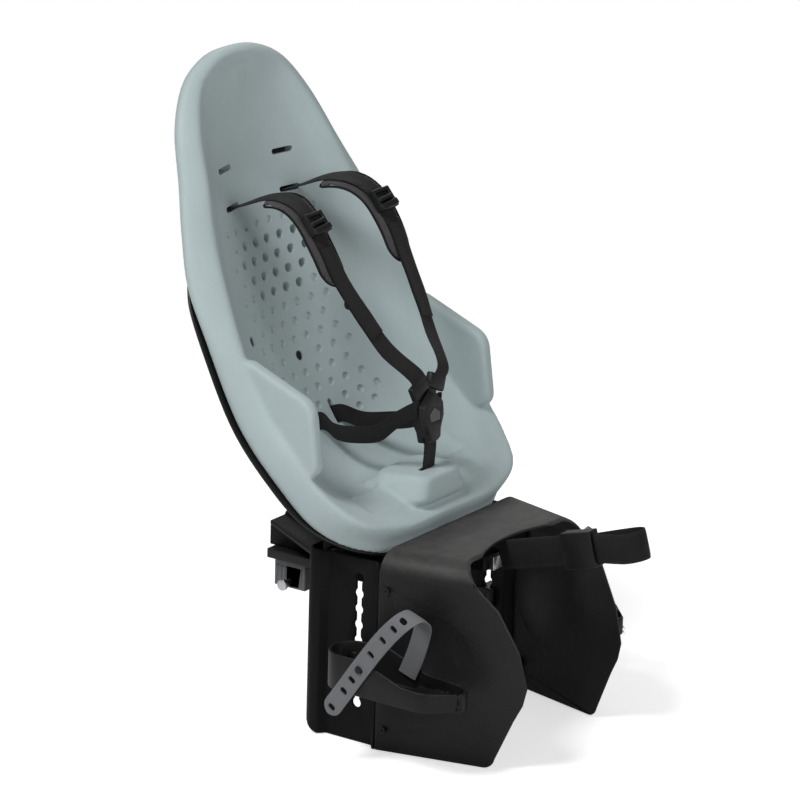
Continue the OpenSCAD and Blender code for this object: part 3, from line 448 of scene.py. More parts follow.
def seat_holes(grow, plug_d, bolts):
    """A cutter with every slot and hole of the seat."""
    tool = cutter("seat_holes")
    through, past = 60, 90

    def slot(p, axis, depth=past):
        bm = bmesh.from_edit_mesh(tool.data)
        long_hole(bm, SLOT_L + grow, SLOT_W + grow, depth, lambda *q: Vector(p) + axis @ Vector(q))
        bmesh.update_edit_mesh(tool.data)

    for s in (1, -1):
        for z in (LOW_SLOT_Z, HIGH_SLOT_Z):
            p, n = on_seat(run_at(z), s * SLOT_X)
            slot(p, turned(seat_turn(n)))
        p, n = on_seat(run_at(HIP_Z), s * HIP_X)
        slot(p, turned(seat_turn(n)) @ Matrix.Rotation(math.pi / 2, 3, "Z"))
    slot((0, CROTCH_Y, PAN_Z), Matrix.Identity(3), 200)
    for p, n in vent_places():
        drum(p, (VENT_D + (3 if grow else 0)) / 2, through, seat_turn(n))
    for d, x in PLUGS:
        p, n = on_seat(d, x)
        drum(p, plug_d / 2, through, seat_turn(n))
    if bolts:
        for x, y in BOLTS:
            drum((x, y, PAN_Z - SHELL_BACK), 6.4 / 2, 30)
    bpy.ops.object.mode_set(mode="OBJECT")
    return tool


def vent_places():
    return [on_seat(run_at(TOP_VENT_Z) - row * VENT_ROW, (k - (count - 1) / 2) * VENT_PITCH)
            for row, count in enumerate(VENT_COUNTS) for k in range(count)]


def dimple_places():
    """The blind dimples: the vents' pattern carried on over the backrest."""
    vents = {(row, round((k - (count - 1) / 2) * VENT_PITCH, 1))
             for row, count in enumerate(VENT_COUNTS) for k in range(count)}
    skip = [on_seat(run_at(LOW_SLOT_Z), s * SLOT_X)[0] for s in (1, -1)]
    skip += [on_seat(d, x)[0] for d, x in PLUGS]
    hips = [on_seat(run_at(HIP_Z), s * HIP_X)[0] for s in (1, -1)]
    places = []
    row = -1
    while run_at(TOP_VENT_Z) - row * VENT_ROW >= run_at(LOW_DIMPLE_Z):
        limit = 92 if row < 9 else 104
        for i in range(-5, 6):
            x = (i + 0.5 * (row % 2)) * VENT_PITCH
            if abs(x) > limit or (row, round(x, 1)) in vents:
                continue
            p, n = on_seat(run_at(TOP_VENT_Z) - row * VENT_ROW, x)
            near_hip = any(abs(p[0] - q[0]) < 10 and np.linalg.norm(p - q) < 26 for q in hips)
            if not near_hip and all(np.linalg.norm(p - q) >= 17 for q in skip):
                places.append((p, n))
        row += 1
    return places


# Ribbons: webbing, straps and pads swept along given points, each with the direction of its width

def open_along(path, t):
    s = t * (len(path) - 1)
    i = min(int(math.floor(s)), len(path) - 2)
    q = [path[min(max(i + k, 0), len(path) - 1)] for k in (-1, 0, 1, 2)]
    return spline(*q, s - i)


def ribbon_frame(path, t):
    q = open_along(path, t)
    tangent = unit(open_along(path, min(t + 0.01, 1))[:3] - open_along(path, max(t - 0.01, 0))[:3])
    across = unit(q[3:])
    return q[:3], across, unit(np.cross(tangent, across))


def ribbon_lengths(path, n=400):
    ts = np.linspace(0, 1, n + 1)
    pts = np.array([open_along(path, t)[:3] for t in ts])
    return ts, np.concatenate(([0], np.cumsum(np.linalg.norm(np.diff(pts, axis=0), axis=1))))


def ribbon(name, path, width, thick, lift=0.0, start=0.0, end=1.0, n=60, tip=(0.0, 0.0), crown=0.0,
           ripple=0.0):
    """A flat band with rolled edges. tip rounds its ends over lengths in mm, crown thickens its middle."""
    path = [np.array(q, float) for q in path]
    ts, runs = ribbon_lengths(path)
    s0, s1 = np.interp((start, end), ts, runs)
    stops = [s0 + (s1 - s0) * i / n for i in range(n + 1)]
    for end_run, length, sign in ((s0, tip[0], 1), (s1, tip[1], -1)):
        if length:
            stops += [end_run + sign * length * f for f in (0.015, 0.06, 0.14, 0.26, 0.42, 0.62, 0.85)]
    stops = sorted({round(s, 3) for s in stops})
    profile = [(-1 + 2 * k / 8, -1) for k in range(9)] + [(1.0, -0.4), (1.0, 0.4)]
    profile += [(1 - 2 * k / 8, 1) for k in range(9)] + [(-1.0, 0.4), (-1.0, -0.4)]
    points, uvs = [], []
    for s in stops:
        t = float(np.interp(s, runs, ts))
        p, a, o = ribbon_frame(path, t)
        half = width / 2
        if tip[0] and s - s0 < tip[0]:
            half *= math.sqrt(max(1 - (1 - (s - s0) / tip[0]) ** 2, 0.0004))
        if tip[1] and s1 - s < tip[1]:
            half *= math.sqrt(max(1 - (1 - (s1 - s) / tip[1]) ** 2, 0.0004))
        for u, v in profile:
            edge = 1 - 0.5 * abs(u) ** 8
            h = thick / 2 * edge * (1 + crown * (1 - u * u))
            wave = ripple * math.sin(s * 0.11 + u * 1.4) * (1 - 0.3 * u)
            points.append(p + a * (half * u) + o * (lift + v * h + wave))
            uvs.append(((half * u) * MM, s * MM))
    m = len(profile)
    faces = [(i * m + j, i * m + (j + 1) % m, (i + 1) * m + (j + 1) % m, (i + 1) * m + j)
             for i in range(len(stops) - 1) for j in range(m)]
    faces += [tuple(range(m))[::-1], tuple((len(stops) - 1) * m + j for j in range(m))]
    obj = mesh_piece(name, points, faces, uvs)
    face_out(obj)
    smooth_shade(obj, 50)
    return obj


def tube(name, points, radius, sides=8):
    """A closed loop of round cord through points given in millimetres."""
    pts = [np.array(p, float) for p in points]
    n = len(pts)
    rings = []
    normal = None
    for i, p in enumerate(pts):
        t = unit(pts[(i + 1) % n] - pts[i - 1])
        if normal is None:
            normal = unit(np.cross(t, (0.3, 0.2, 0.9)))
        normal = unit(normal - t * float(normal @ t))
        b = np.cross(t, normal)
        angles = [2 * math.pi * k / sides for k in range(sides)]
        rings.append([p + radius * (normal * math.cos(a) + b * math.sin(a)) for a in angles])
    faces = []
    for i in range(n):
        j = (i + 1) % n
        shift = 0
        if j == 0:
            shift = min(range(sides), key=lambda s: sum(
                np.linalg.norm(rings[-1][k] - rings[0][(k + s) % sides]) for k in range(sides)))
        for k in range(sides):
            faces.append((i * sides + k, i * sides + (k + 1) % sides,
                          j * sides + (k + 1 + shift) % sides, j * sides + (k + shift) % sides))
    obj = mesh_piece(name, [p for r in rings for p in r], faces)
    face_out(obj)
    smooth_shade(obj, 60)
    return obj


STITCH_L, STITCH_GAP, STITCH_W, STITCH_H = 3.0, 1.3, 0.7, 0.35


def stitches(name, run):
    """Thread along (point, outward) pairs, one small raised bar a stitch."""
    points, faces = [], []
    pts, outs = (np.array(list(v), float) for v in zip(*run))
    lens = np.concatenate(([0], np.cumsum(np.linalg.norm(np.diff(pts, axis=0), axis=1))))

    def at(rows, d):
        return np.array([np.interp(d, lens, rows[:, k]) for k in range(3)])

    s = STITCH_GAP
    while s + STITCH_L < lens[-1]:
        a, b = at(pts, s), at(pts, s + STITCH_L)
        o = unit(at(outs, s))
        t = unit(b - a)
        w = np.cross(o, t)
        base = len(points)
        for end, f in ((a, 1), (b, -1)):
            for side in (1, -1):
                points.append(end + w * side * STITCH_W / 2 - o * 0.3)
            for side in (1, -1):
                points.append(end + t * f * 0.5 + w * side * STITCH_W * 0.25 + o * STITCH_H)
        quads = [(0, 1, 3, 2), (4, 6, 7, 5), (0, 2, 6, 4), (1, 5, 7, 3), (2, 3, 7, 6), (0, 4, 5, 1)]
        faces += [tuple(base + k for k in q) for q in quads]
        s += STITCH_L + STITCH_GAP
    obj = mesh_piece(name, points, faces)
    face_out(obj)
    return obj


def puff(obj, cap):
    """Swells a padded piece with cloth, no point further than cap, and smooths it once."""
    modify(obj, "REMESH", mode="VOXEL", voxel_size=0.0032, use_smooth_shade=True)
    rest = np.array([v.co[:] for v in obj.data.vertices])
    m = obj.modifiers.new("Cover", "CLOTH")
    m.settings.use_pressure = True
    m.settings.uniform_pressure_force = 4
    m.settings.effector_weights.gravity = 0
    m.settings.tension_stiffness = 20
    m.settings.compression_stiffness = 20
    m.settings.bending_stiffness = 1.5
    m.point_cache.frame_start = 1
    m.point_cache.frame_end = 20
    for f in range(1, 21):
        bpy.context.scene.frame_set(f)
    pick(obj)
    bpy.ops.object.modifier_apply(modifier=m.name)
    now = np.array([v.co[:] for v in obj.data.vertices])
    move = now - rest
    size = np.linalg.norm(move, axis=1, keepdims=True)
    move *= np.minimum(1, cap / np.maximum(size, 1e-9))
    for v, p in zip(obj.data.vertices, rest + move):
        v.co = p
    bpy.context.scene.frame_set(1)
    modify(obj, "SUBSURF", levels=1, render_levels=1)
    pick(obj)
    bpy.ops.object.shade_smooth()


# Materials: shared effects are node groups, each shader stays in its own material

def add(tree, kind, *links, **settings):
    """Adds a node. Each link is (input, value or output); the rest are the node's own settings."""
    node = tree.nodes.new(kind)
    for key, value in settings.items():
        setattr(node, key, value)
    for name, value in links:
        socket = node.inputs[name]
        if isinstance(value, bpy.types.NodeSocket):
            tree.links.new(value, socket)
        else:
            socket.default_value = value
    return node


def remap(tree, value, low=0.0, high=1.0, to=(0.0, 1.0)):
    """A value carried from one range to another."""
    return add(tree, "ShaderNodeMapRange", ("Value", value), ("From Min", low), ("From Max", high),
               ("To Min", to[0]), ("To Max", to[1])).outputs[0]


def calc(tree, operation, *values):
    return add(tree, "ShaderNodeMath", *enumerate(values), operation=operation).outputs[0]


def cloudy(tree, place, scale, detail, roughness=0.5):
    """Noise at a place, from 0 to 1."""
    return add(tree, "ShaderNodeTexNoise", ("Vector", place), ("Scale", scale), ("Detail", detail),
               ("Roughness", roughness)).outputs[0]


def own_place(tree, kind="Object"):
    return add(tree, "ShaderNodeTexCoord").outputs[kind]


def effect(name, inputs, outputs, build):
    """A shader node group with named float inputs and outputs, made once."""
    if name in bpy.data.node_groups:
        return bpy.data.node_groups[name]
    tree = bpy.data.node_groups.new(name, "ShaderNodeTree")
    for label, value in inputs:
        tree.interface.new_socket(label, in_out="INPUT", socket_type="NodeSocketFloat").default_value = value
    for label in outputs:
        tree.interface.new_socket(label, in_out="OUTPUT", socket_type="NodeSocketFloat")
    source = tree.nodes.new("NodeGroupInput")
    target = tree.nodes.new("NodeGroupOutput")
    for label, socket in build(tree, source).items():
        tree.links.new(socket, target.inputs[label])
    return tree


def moulded_grain():
    """Fine moulded texture: a height and a tone that vary together."""
    def build(t, s):
        place = own_place(t)
        fine = cloudy(t, place, s.outputs["Scale"], 3.0, 0.6)
        cells = add(t, "ShaderNodeTexVoronoi", ("Vector", place), ("Scale", s.outputs["Scale"]))
        return {"Height": calc(t, "ADD", fine, cells.outputs["Distance"]), "Tone": remap(t, fine, 0.35, 0.65)}
    return effect("Moulded Grain", [("Scale", 900.0)], ["Height", "Tone"], build)


def broad_mottle():
    """Slow change over a hand's breadth, between Low and High."""
    def build(t, s):
        slow = cloudy(t, own_place(t), s.outputs["Scale"], 4.0, 0.55)
        return {"Value": remap(t, slow, 0.3, 0.7, (s.outputs["Low"], s.outputs["High"]))}
    return effect("Broad Mottle", [("Scale", 9.0), ("Low", 0.0), ("High", 1.0)], ["Value"], build)


def handling_marks():
    """Thin rubbed lines from handling, as a mask."""
    def build(t, s):
        place = own_place(t)
        drawn_out = add(t, "ShaderNodeMapping", ("Vector", place), ("Rotation", (0.5, 0.3, 0.9)),
                        ("Scale", (6.0, 90.0, 60.0)))
        thin = remap(t, cloudy(t, drawn_out.outputs[0], 3.0, 3.0), 0.62, 0.72)
        where = remap(t, cloudy(t, place, 14.0, 2.0), 0.5, 0.7)
        return {"Mask": calc(t, "MULTIPLY", calc(t, "MULTIPLY", thin, where), s.outputs["Amount"])}
    return effect("Handling Marks", [("Amount", 0.5)], ["Mask"], build)


def dust_and_painted_top_light():
    """Settled dust and painted top light on faces that look up, as a mask."""
    def build(t, s):
        up = add(t, "ShaderNodeSeparateXYZ", (0, own_place(t, "Normal"))).outputs["Z"]
        top_dust_and_light = calc(t, "MULTIPLY", remap(t, up, 0.1, 1.0), cloudy(t, own_place(t), 60.0, 6.0, 0.7))
        return {"Mask": calc(t, "MULTIPLY", top_dust_and_light, s.outputs["Amount"])}
    return effect("Dust And Painted Top Light", [("Amount", 0.2)], ["Mask"], build)


def webbing_weave():
    """Slanted ribs across the webbing, from the piece's own UV map in metres."""
    def build(t, s):
        uv = add(t, "ShaderNodeSeparateXYZ", (0, own_place(t, "UV")))
        side = calc(t, "ABSOLUTE", uv.outputs["X"])
        slant = calc(t, "MULTIPLY_ADD", side, 0.9, uv.outputs["Y"])
        picks = calc(t, "SINE", calc(t, "MULTIPLY", slant, s.outputs["Picks"]))
        ribs = calc(t, "SINE", calc(t, "MULTIPLY", uv.outputs["X"], s.outputs["Ribs"]))
        return {"Height": remap(t, calc(t, "MULTIPLY", picks, ribs), -1.0, 1.0),
                "Edge": remap(t, side, s.outputs["Selvage"], 0.0125)}
    inputs = [("Picks", 2600.0), ("Ribs", 2600.0), ("Selvage", 0.0105)]
    return effect("Webbing Weave", inputs, ["Height", "Edge"], build)


def knitted_cloth():
    """A fine mesh cloth in Object coordinates, for covers that have no UV map."""
    def build(t, s):
        place = add(t, "ShaderNodeSeparateXYZ", (0, own_place(t)))
        waves = [calc(t, "SINE", calc(t, "MULTIPLY_ADD", place.outputs[axis], s.outputs["Threads"], shift))
                 for axis, shift in (("X", 0.0), ("Y", 0.6), ("Z", 1.1))]
        return {"Height": remap(t, calc(t, "ADD", calc(t, "ADD", waves[0], waves[1]), waves[2]), -2.0, 2.0)}
    return effect("Knitted Cloth", [("Threads", 3600.0)], ["Height"], build)


def group(tree, made, **values):
    node = tree.nodes.new("ShaderNodeGroup")
    node.node_tree = made
    for key, value in values.items():
        node.inputs[key].default_value = value
    return node


def rgba(c):
    return (c[0], c[1], c[2], 1.0)


def scaled(c, k):
    return tuple(min(v * k, 1.0) for v in c)


def mixed(tree, factor, a, b):
    """A colour between two others, each a colour or an output."""
    node = tree.nodes.new("ShaderNodeMix")
    node.data_type = "RGBA"
    tree.links.new(factor, node.inputs["Factor"])
    for index, value in ((6, a), (7, b)):
        if isinstance(value, bpy.types.NodeSocket):
            tree.links.new(value, node.inputs[index])
        else:
            node.inputs[index].default_value = rgba(value)
    return node.outputs[2]


def new_material(name):
    mat = bpy.data.materials.new(name)
    mat.use_nodes = True
    return mat, mat.node_tree, mat.node_tree.nodes["Principled BSDF"]


def bump(tree, bsdf, height, distance, strength=1.0):
    node = add(tree, "ShaderNodeBump", ("Height", height), ("Distance", distance), ("Strength", strength))
    tree.links.new(node.outputs[0], bsdf.inputs["Normal"])


def moulded_material(name, base, rough, grain, depth=0.00012, dust_and_top_light=0.02, marks=0.35, metallic=0.0,
                     spread=0.25, rubbed=1.95, specular=0.28):
    """Moulded plastic, rubber or plated metal: grain, slow mottle, rubbed lines, and settled dust with
    painted top light on faces that look up.
    """
    mat, tree, bsdf = new_material(name)
    grained = group(tree, moulded_grain(), Scale=grain)
    slow = group(tree, broad_mottle(), Scale=8.0, Low=0.0, High=1.0)
    rub = group(tree, handling_marks(), Amount=marks)
    top_dust_and_light = group(tree, dust_and_painted_top_light(), Amount=dust_and_top_light)
    tone = mixed(tree, slow.outputs["Value"], scaled(base, 1 - spread), scaled(base, 1 + spread))
    tone = mixed(tree, rub.outputs["Mask"], tone, scaled(base, rubbed))
    # Faces that look up are lightened here: settled dust, and painted light falling from above.
    tone = mixed(tree, top_dust_and_light.outputs["Mask"], tone, (0.33, 0.32, 0.30))
    tree.links.new(tone, bsdf.inputs["Base Color"])
    uneven = remap(tree, slow.outputs["Value"], to=(rough - 0.06, rough + 0.06))
    matted = calc(tree, "MULTIPLY_ADD", grained.outputs["Tone"], 0.08, uneven)
    tree.links.new(matted, bsdf.inputs["Roughness"])
    bsdf.inputs["Metallic"].default_value = metallic
    bsdf.inputs["Specular IOR Level"].default_value = specular
    bump(tree, bsdf, grained.outputs["Height"], depth)
    return mat


def foam_material():
    """Moulded closed-cell foam: a matt skin with a fine grain, a slow mottle, flecks and rubbed lines."""
    c = colours()
    mat, tree, bsdf = new_material("moulded_foam")
    grained = group(tree, moulded_grain(), Scale=620.0)
    slow = group(tree, broad_mottle(), Scale=6.0, Low=0.0, High=1.0)
    fleck = group(tree, broad_mottle(), Scale=240.0, Low=0.0, High=0.25)
    rub = group(tree, handling_marks(), Amount=0.12)
    tone = mixed(tree, slow.outputs["Value"], c.foam, c.foam_shade)
    tone = mixed(tree, fleck.outputs["Value"], tone, scaled(c.foam_shade, 0.93))
    tone = mixed(tree, rub.outputs["Mask"], tone, scaled(c.foam, 1.12))
    tree.links.new(tone, bsdf.inputs["Base Color"])
    tree.links.new(remap(tree, slow.outputs["Value"], to=(0.56, 0.7)), bsdf.inputs["Roughness"])
    bsdf.inputs["Specular IOR Level"].default_value = 0.35
    bsdf.inputs["Sheen Weight"].default_value = 0.08
    bsdf.inputs["Sheen Roughness"].default_value = 0.6
    bump(tree, bsdf, grained.outputs["Height"], 0.00016)
    return mat


def webbing_material(name, selvage, picks):
    """Woven webbing: slanted ribs, a firmer edge and a soft sheen."""
    base = colours().webbing
    mat, tree, bsdf = new_material(name)
    weave = group(tree, webbing_weave(), Picks=picks, Selvage=selvage)
    slow = group(tree, broad_mottle(), Scale=18.0, Low=0.0, High=1.0)
    tone = mixed(tree, weave.outputs["Height"], scaled(base, 0.6), scaled(base, 1.35))
    tone = mixed(tree, slow.outputs["Value"], tone, scaled(base, 1.15))
    tone = mixed(tree, weave.outputs["Edge"], tone, scaled(base, 0.7))
    tree.links.new(tone, bsdf.inputs["Base Color"])
    tree.links.new(remap(tree, weave.outputs["Height"], to=(0.85, 0.62)), bsdf.inputs["Roughness"])
    bsdf.inputs["Specular IOR Level"].default_value = 0.2
    bsdf.inputs["Sheen Weight"].default_value = 0.04
    bsdf.inputs["Sheen Roughness"].default_value = 0.5
    bump(tree, bsdf, weave.outputs["Height"], 0.0005)
    return mat


def padding_material():
    """Knitted cover of the shoulder pads."""
    c = colours()
    mat, tree, bsdf = new_material("pad_cloth")
    knit = group(tree, knitted_cloth(), Threads=3400.0)
    slow = group(tree, broad_mottle(), Scale=22.0, Low=0.0, High=1.0)
    tone = mixed(tree, knit.outputs["Height"], scaled(c.padding, 0.72), scaled(c.padding, 1.2))
    tone = mixed(tree, slow.outputs["Value"], tone, scaled(c.padding, 1.1))
    tree.links.new(tone, bsdf.inputs["Base Color"])
    tree.links.new(remap(tree, knit.outputs["Height"], to=(0.95, 0.8)), bsdf.inputs["Roughness"])
    bsdf.inputs["Sheen Weight"].default_value = 0.12
    bump(tree, bsdf, knit.outputs["Height"], 0.0004)
    return mat


def reflector_material():
    """Red lens with a grid of small prisms."""
    c = colours()
    mat, tree, bsdf = new_material("reflector_lens")
    cells = add(tree, "ShaderNodeTexVoronoi", ("Vector", own_place(tree)), ("Scale", 330.0),
                ("Randomness", 0.0), distance="CHEBYCHEV")
    slow = group(tree, broad_mottle(), Scale=30.0, Low=0.0, High=1.0)
    tone = mixed(tree, cells.outputs["Distance"], scaled(c.reflector, 1.6), scaled(c.reflector, 0.5))
    tone = mixed(tree, slow.outputs["Value"], tone, c.reflector)
    tree.links.new(tone, bsdf.inputs["Base Color"])
    tree.links.new(remap(tree, slow.outputs["Value"], to=(0.08, 0.2)), bsdf.inputs["Roughness"])
    bsdf.inputs["Coat Weight"].default_value = 0.5
    bump(tree, bsdf, cells.outputs["Distance"], 0.0006)
    return mat


def material(name):
    """The finished material of that name, made when it is first asked for."""
    if name in bpy.data.materials:
        return bpy.data.materials[name]
    c = colours()
    moulded = {
        "hard_shell": dict(base=c.shell, rough=0.42, grain=1100.0),
        "column_plastic": dict(base=c.body, rough=0.5, grain=1000.0, dust_and_top_light=0.004, marks=0.12, specular=0.12),
        # The leg shield's large amount paints light on its upward-facing top.
        "shield_plastic": dict(base=c.shield, rough=0.48, grain=800.0, dust_and_top_light=0.22, marks=0.2, specular=0.24),
        "small_plastic": dict(base=c.shell, rough=0.38, grain=1300.0),
        "tray_plastic": dict(base=c.shell, rough=0.42, grain=900.0, dust_and_top_light=0.04, marks=0.5),
        "buckle_plastic": dict(base=c.buckle, rough=0.36, grain=1400.0),
        "button_plastic": dict(base=c.button, rough=0.45, grain=1400.0, dust_and_top_light=0.05),
        "strap_rubber": dict(base=c.strap_rubber, rough=0.6, grain=700.0, dust_and_top_light=0.06, marks=0.3),
        "jaw_rubber": dict(base=c.jaw_rubber, rough=0.65, grain=700.0, dust_and_top_light=0.15),
        "plated_steel": dict(base=c.steel, rough=0.3, grain=1600.0, depth=0.00004, dust_and_top_light=0.05, metallic=1.0,
                             spread=0.1, rubbed=1.6),
        "binding_tape": dict(base=c.piping, rough=0.85, grain=1500.0, depth=0.0003, dust_and_top_light=0.0, marks=0.1,
                             specular=0.1),
        "black_steel": dict(base=c.shell, rough=0.4, grain=1600.0, depth=0.00004, marks=0.2),
    }
    woven = {
        "harness_webbing": dict(selvage=0.0105, picks=2600.0),
        "safety_webbing": dict(selvage=0.016, picks=2200.0),
    }
    if name in moulded:
        return moulded_material(name, **moulded[name])
    if name in woven:
        return webbing_material(name, **woven[name])
    return {"moulded_foam": foam_material, "pad_cloth": padding_material,
            "reflector_lens": reflector_material}[name]()


def finish_node(node, name):
    """A CAD solid that is shown as it is, with a finished material."""
    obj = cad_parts[node]
    for s in obj.material_slots:
        s.link = "DATA"
        s.material = material(name)
    if not obj.material_slots:
        obj.data.materials.append(material(name))


# Pieces

WING_X, WING_T, WING_ROUND = 181, 18, 5
WING_CORNERS = ((148, 272, 12), (78, 228, 28), (60, PAN_Z + 50, 18), (108, PAN_Z + 82, 18))


def add_wing(obj, side):
    """One armrest wing as a slab through four round corners, with rounded edges."""
    wing = cutter("wing")
    for y, z, r in WING_CORNERS:
        for turn in (0, 30, 60, 90):
            wide, deep = (WING_ROUND * f(math.radians(turn)) for f in (math.cos, math.sin))
            drum((side * WING_X, y, z), r - WING_ROUND + wide, WING_T - 2 * (WING_ROUND - deep),
                 (0, math.pi / 2, 0), 48)
    hull_of_mesh()
    merge(obj, wing)


def add_pommel(obj):
    """The raised tongue in the middle of the front lip."""
    top = PAN_Z + 9
    pommel = cutter("pommel")
    for s in (-1, 1):
        for x, y, z, h in ((22, 6, top - 8, 8), (28, 40, top - 8, 6), (34, 2, PAN_Z - 25, 8),
                           (40, 44, PAN_Z - 9, 4)):
            drum((s * x, y, z + h / 2), 18, h, sides=48)
    hull_of_mesh()
    modify(pommel, "BEVEL", width=0.005, segments=3, limit_method="ANGLE", angle_limit=math.radians(40),
           use_clamp_overlap=False)
    merge(obj, pommel)


def sink_seat(obj, depth):
    """Lowers the seating area behind the front lip, and hollows the lip a little under each thigh."""
    normals = [v.normal.copy() for v in obj.data.vertices]
    for v, n in zip(obj.data.vertices, normals):
        x, y, z = (c / MM for c in v.co)
        if n.z < 0.35 or z > PAN_Z + 60 or z < PAN_Z - 40:
            continue
        lap = smooth((y - 42) / 5) * smooth((132 - y) / 40) * smooth((130 - abs(x)) / 12)
        beside = 1 - smooth((60 - abs(x)) / 6) * smooth((70 - y) / 8)
        thigh = (smooth((y - 4) / 9) * smooth((43 - y) / 6) * smooth((abs(x) - 50) / 10)
                 * smooth((128 - abs(x)) / 16))
        v.co.z -= depth * lap * beside + depth * 0.5 * thigh


class SEAT_OT_foam_bucket(bpy.types.Operator):
    """Make the soft foam bucket with its wings, pommel, slots, vents and dimples"""
    bl_idname = "child_seat.foam_bucket"
    bl_label = "Foam Bucket"

    def execute(self, context):
        size = sizes()
        foam = half_skin("foam_bucket", [foam_row(i / 90, 22, 6) for i in range(91)], False)
        for _, side in SIDES:
            add_wing(foam, side)
        add_pommel(foam)
        modify(foam, "REMESH", mode="VOXEL", voxel_size=size.foam_voxel, use_smooth_shade=True)
        modify(foam, "SMOOTH", factor=0.5, iterations=3)
        sink_seat(foam, size.recess_depth)
        cut(foam, seat_holes(0, PLUG_D + 0.6, False))
        pits = cutter("dimples")
        wide = size.dimple_diameter
        for p, n in dimple_places():
            pit(p, seat_turn(n), wide * 0.36, wide * 0.64, size.dimple_depth * 2, 20)
        for p, n in vent_places():
            pit(p, seat_turn(n), 0.0042, 0.0084, 0.008, 32)
        bpy.ops.object.mode_set(mode="OBJECT")
        cut(foam, pits)
        smooth_shade(foam, 35)
        dress(foam, "seat", "foam", material("moulded_foam"), "foam_liner")
        return {"FINISHED"}


class SEAT_OT_hard_shell(bpy.types.Operator):
    """Make the hard shell behind the foam, with its plugs, bolts and harness bar"""
    bl_idname = "child_seat.hard_shell"
    bl_label = "Hard Shell"

    def execute(self, context):
        shell = half_skin("hard_shell", [shell_row(i / 90, 22) for i in range(91)], True)
        # This cut changes nothing and raises no error: the solver needs a closed mesh, and the shell's isn't
        cut(shell, seat_holes(4, PLUG_D * 0.5 + 0.4, True))
        smooth_shade(shell, 40)
        dress(shell, "seat", "shell", material("hard_shell"), "seat_shell")
        cad_piece("liner_plugs", "fixing_plugs", 0.0008, "black_parts", "small_plastic", segments=3)
        cad_piece("harness_anchor_bar", "harness_bar", 0.0008, "steel", "plated_steel")
        cad_piece("crotch_anchor", "crotch_bar", 0.0008, "steel", "plated_steel")
        finish_node("shell_screws", "plated_steel")
        return {"FINISHED"}


# Buckle and harness, in millimetres

BUCKLE_Y, BUCKLE_Z, LEAN = 13.0, PAN_Z + 75, math.radians(6)
BUCKLE_W, BUCKLE_H = 46.0, 66.0


def from_buckle(x, y, z):
    s, c = math.sin(LEAN), math.cos(LEAN)
    return (x, BUCKLE_Y + y * s - z * c, BUCKLE_Z + y * c + z * s)


SLOT_MOUTH, SLOT_OUT = on_seat(run_at(LOW_SLOT_Z), SLOT_X)
SLOT_SIDE = (1, -0.2, 0.08)


def beside(p, w):
    return tuple(p) + tuple(w)


SHOULDER_PATH = [
    beside(SLOT_MOUTH - SLOT_OUT * (SHELL_BACK + 2), SLOT_SIDE), beside(SLOT_MOUTH + SLOT_OUT * 3, SLOT_SIDE),
    beside(SLOT_MOUTH + (1, -56, 24), (1, -0.1, 0.05)), beside(SLOT_MOUTH + (5, -92, 28), (1, 0, 0)),
    beside(SLOT_MOUTH + (10, -122, 13), (1, 0, 0)), beside(SLOT_MOUTH + (12, -148, -20), (1, 0, 0)),
    beside(SLOT_MOUTH + (9, -170, -58), (1, 0, -0.1)), beside(SLOT_MOUTH + (1, -196, -96), (1, 0, -0.2)),
    beside((47, 44, BUCKLE_Z + 88), (1, 0, -0.3)),
    beside(from_buckle(29, BUCKLE_H / 2 + 24, 6), (1, 0, -0.4)),
    beside(from_buckle(18.5, BUCKLE_H / 2 + 7.5, 2.8), (1, 0, -0.46))]
HIP_MOUTH, HIP_OUT = on_seat(run_at(HIP_Z), HIP_X)
HIP_PATH = [
    beside(HIP_MOUTH - HIP_OUT * (SHELL_BACK + 2), (0, 0.35, 1)),
    beside(HIP_MOUTH + (0.8, -12, 0), (0, 0.2, 1)),
    beside(HIP_MOUTH + (9, -38, -6), (0.1, 0.2, 1)), beside(HIP_MOUTH + (16, -68, -2), (0.1, 0.2, 1)),
    (40, 60, PAN_Z + 52, 0.2, 0.2, 1), (38, 36, PAN_Z + 72, 0.3, 0.1, 1),
    beside(from_buckle(BUCKLE_W / 2 + 5, 10, -6), (0.2, 0, 1)),
    beside(from_buckle(BUCKLE_W / 2 + 2.3, 12, 2), (0.1, 0, 1))]
CROTCH_PATH = [
    (0, CROTCH_Y, PAN_Z - 47, 1, 0, 0), (0, CROTCH_Y, PAN_Z - 10, 1, 0, 0),
    beside(from_buckle(0, -BUCKLE_H / 2 - 8, 0), (1, 0, 0)),
    beside(from_buckle(0, -BUCKLE_H / 2 + 7, 0), (1, 0, 0))]
PAD_FROM, PAD_TO, PAD_W, PAD_T, PAD_TIPS, ADJUSTER_AT = 0.19, 0.61, 46.0, 7.0, (14, 26), 0.43


def on_side(path, side, roll=()):
    """The path on one side of the seat. roll lifts the band's outer edge at each knot."""
    roll = list(roll) + [0] * (len(path) - len(roll))
    return [(q[0] * side, q[1], q[2], q[3], q[4] * side, q[5] * side + k) for q, k in zip(path, roll)]


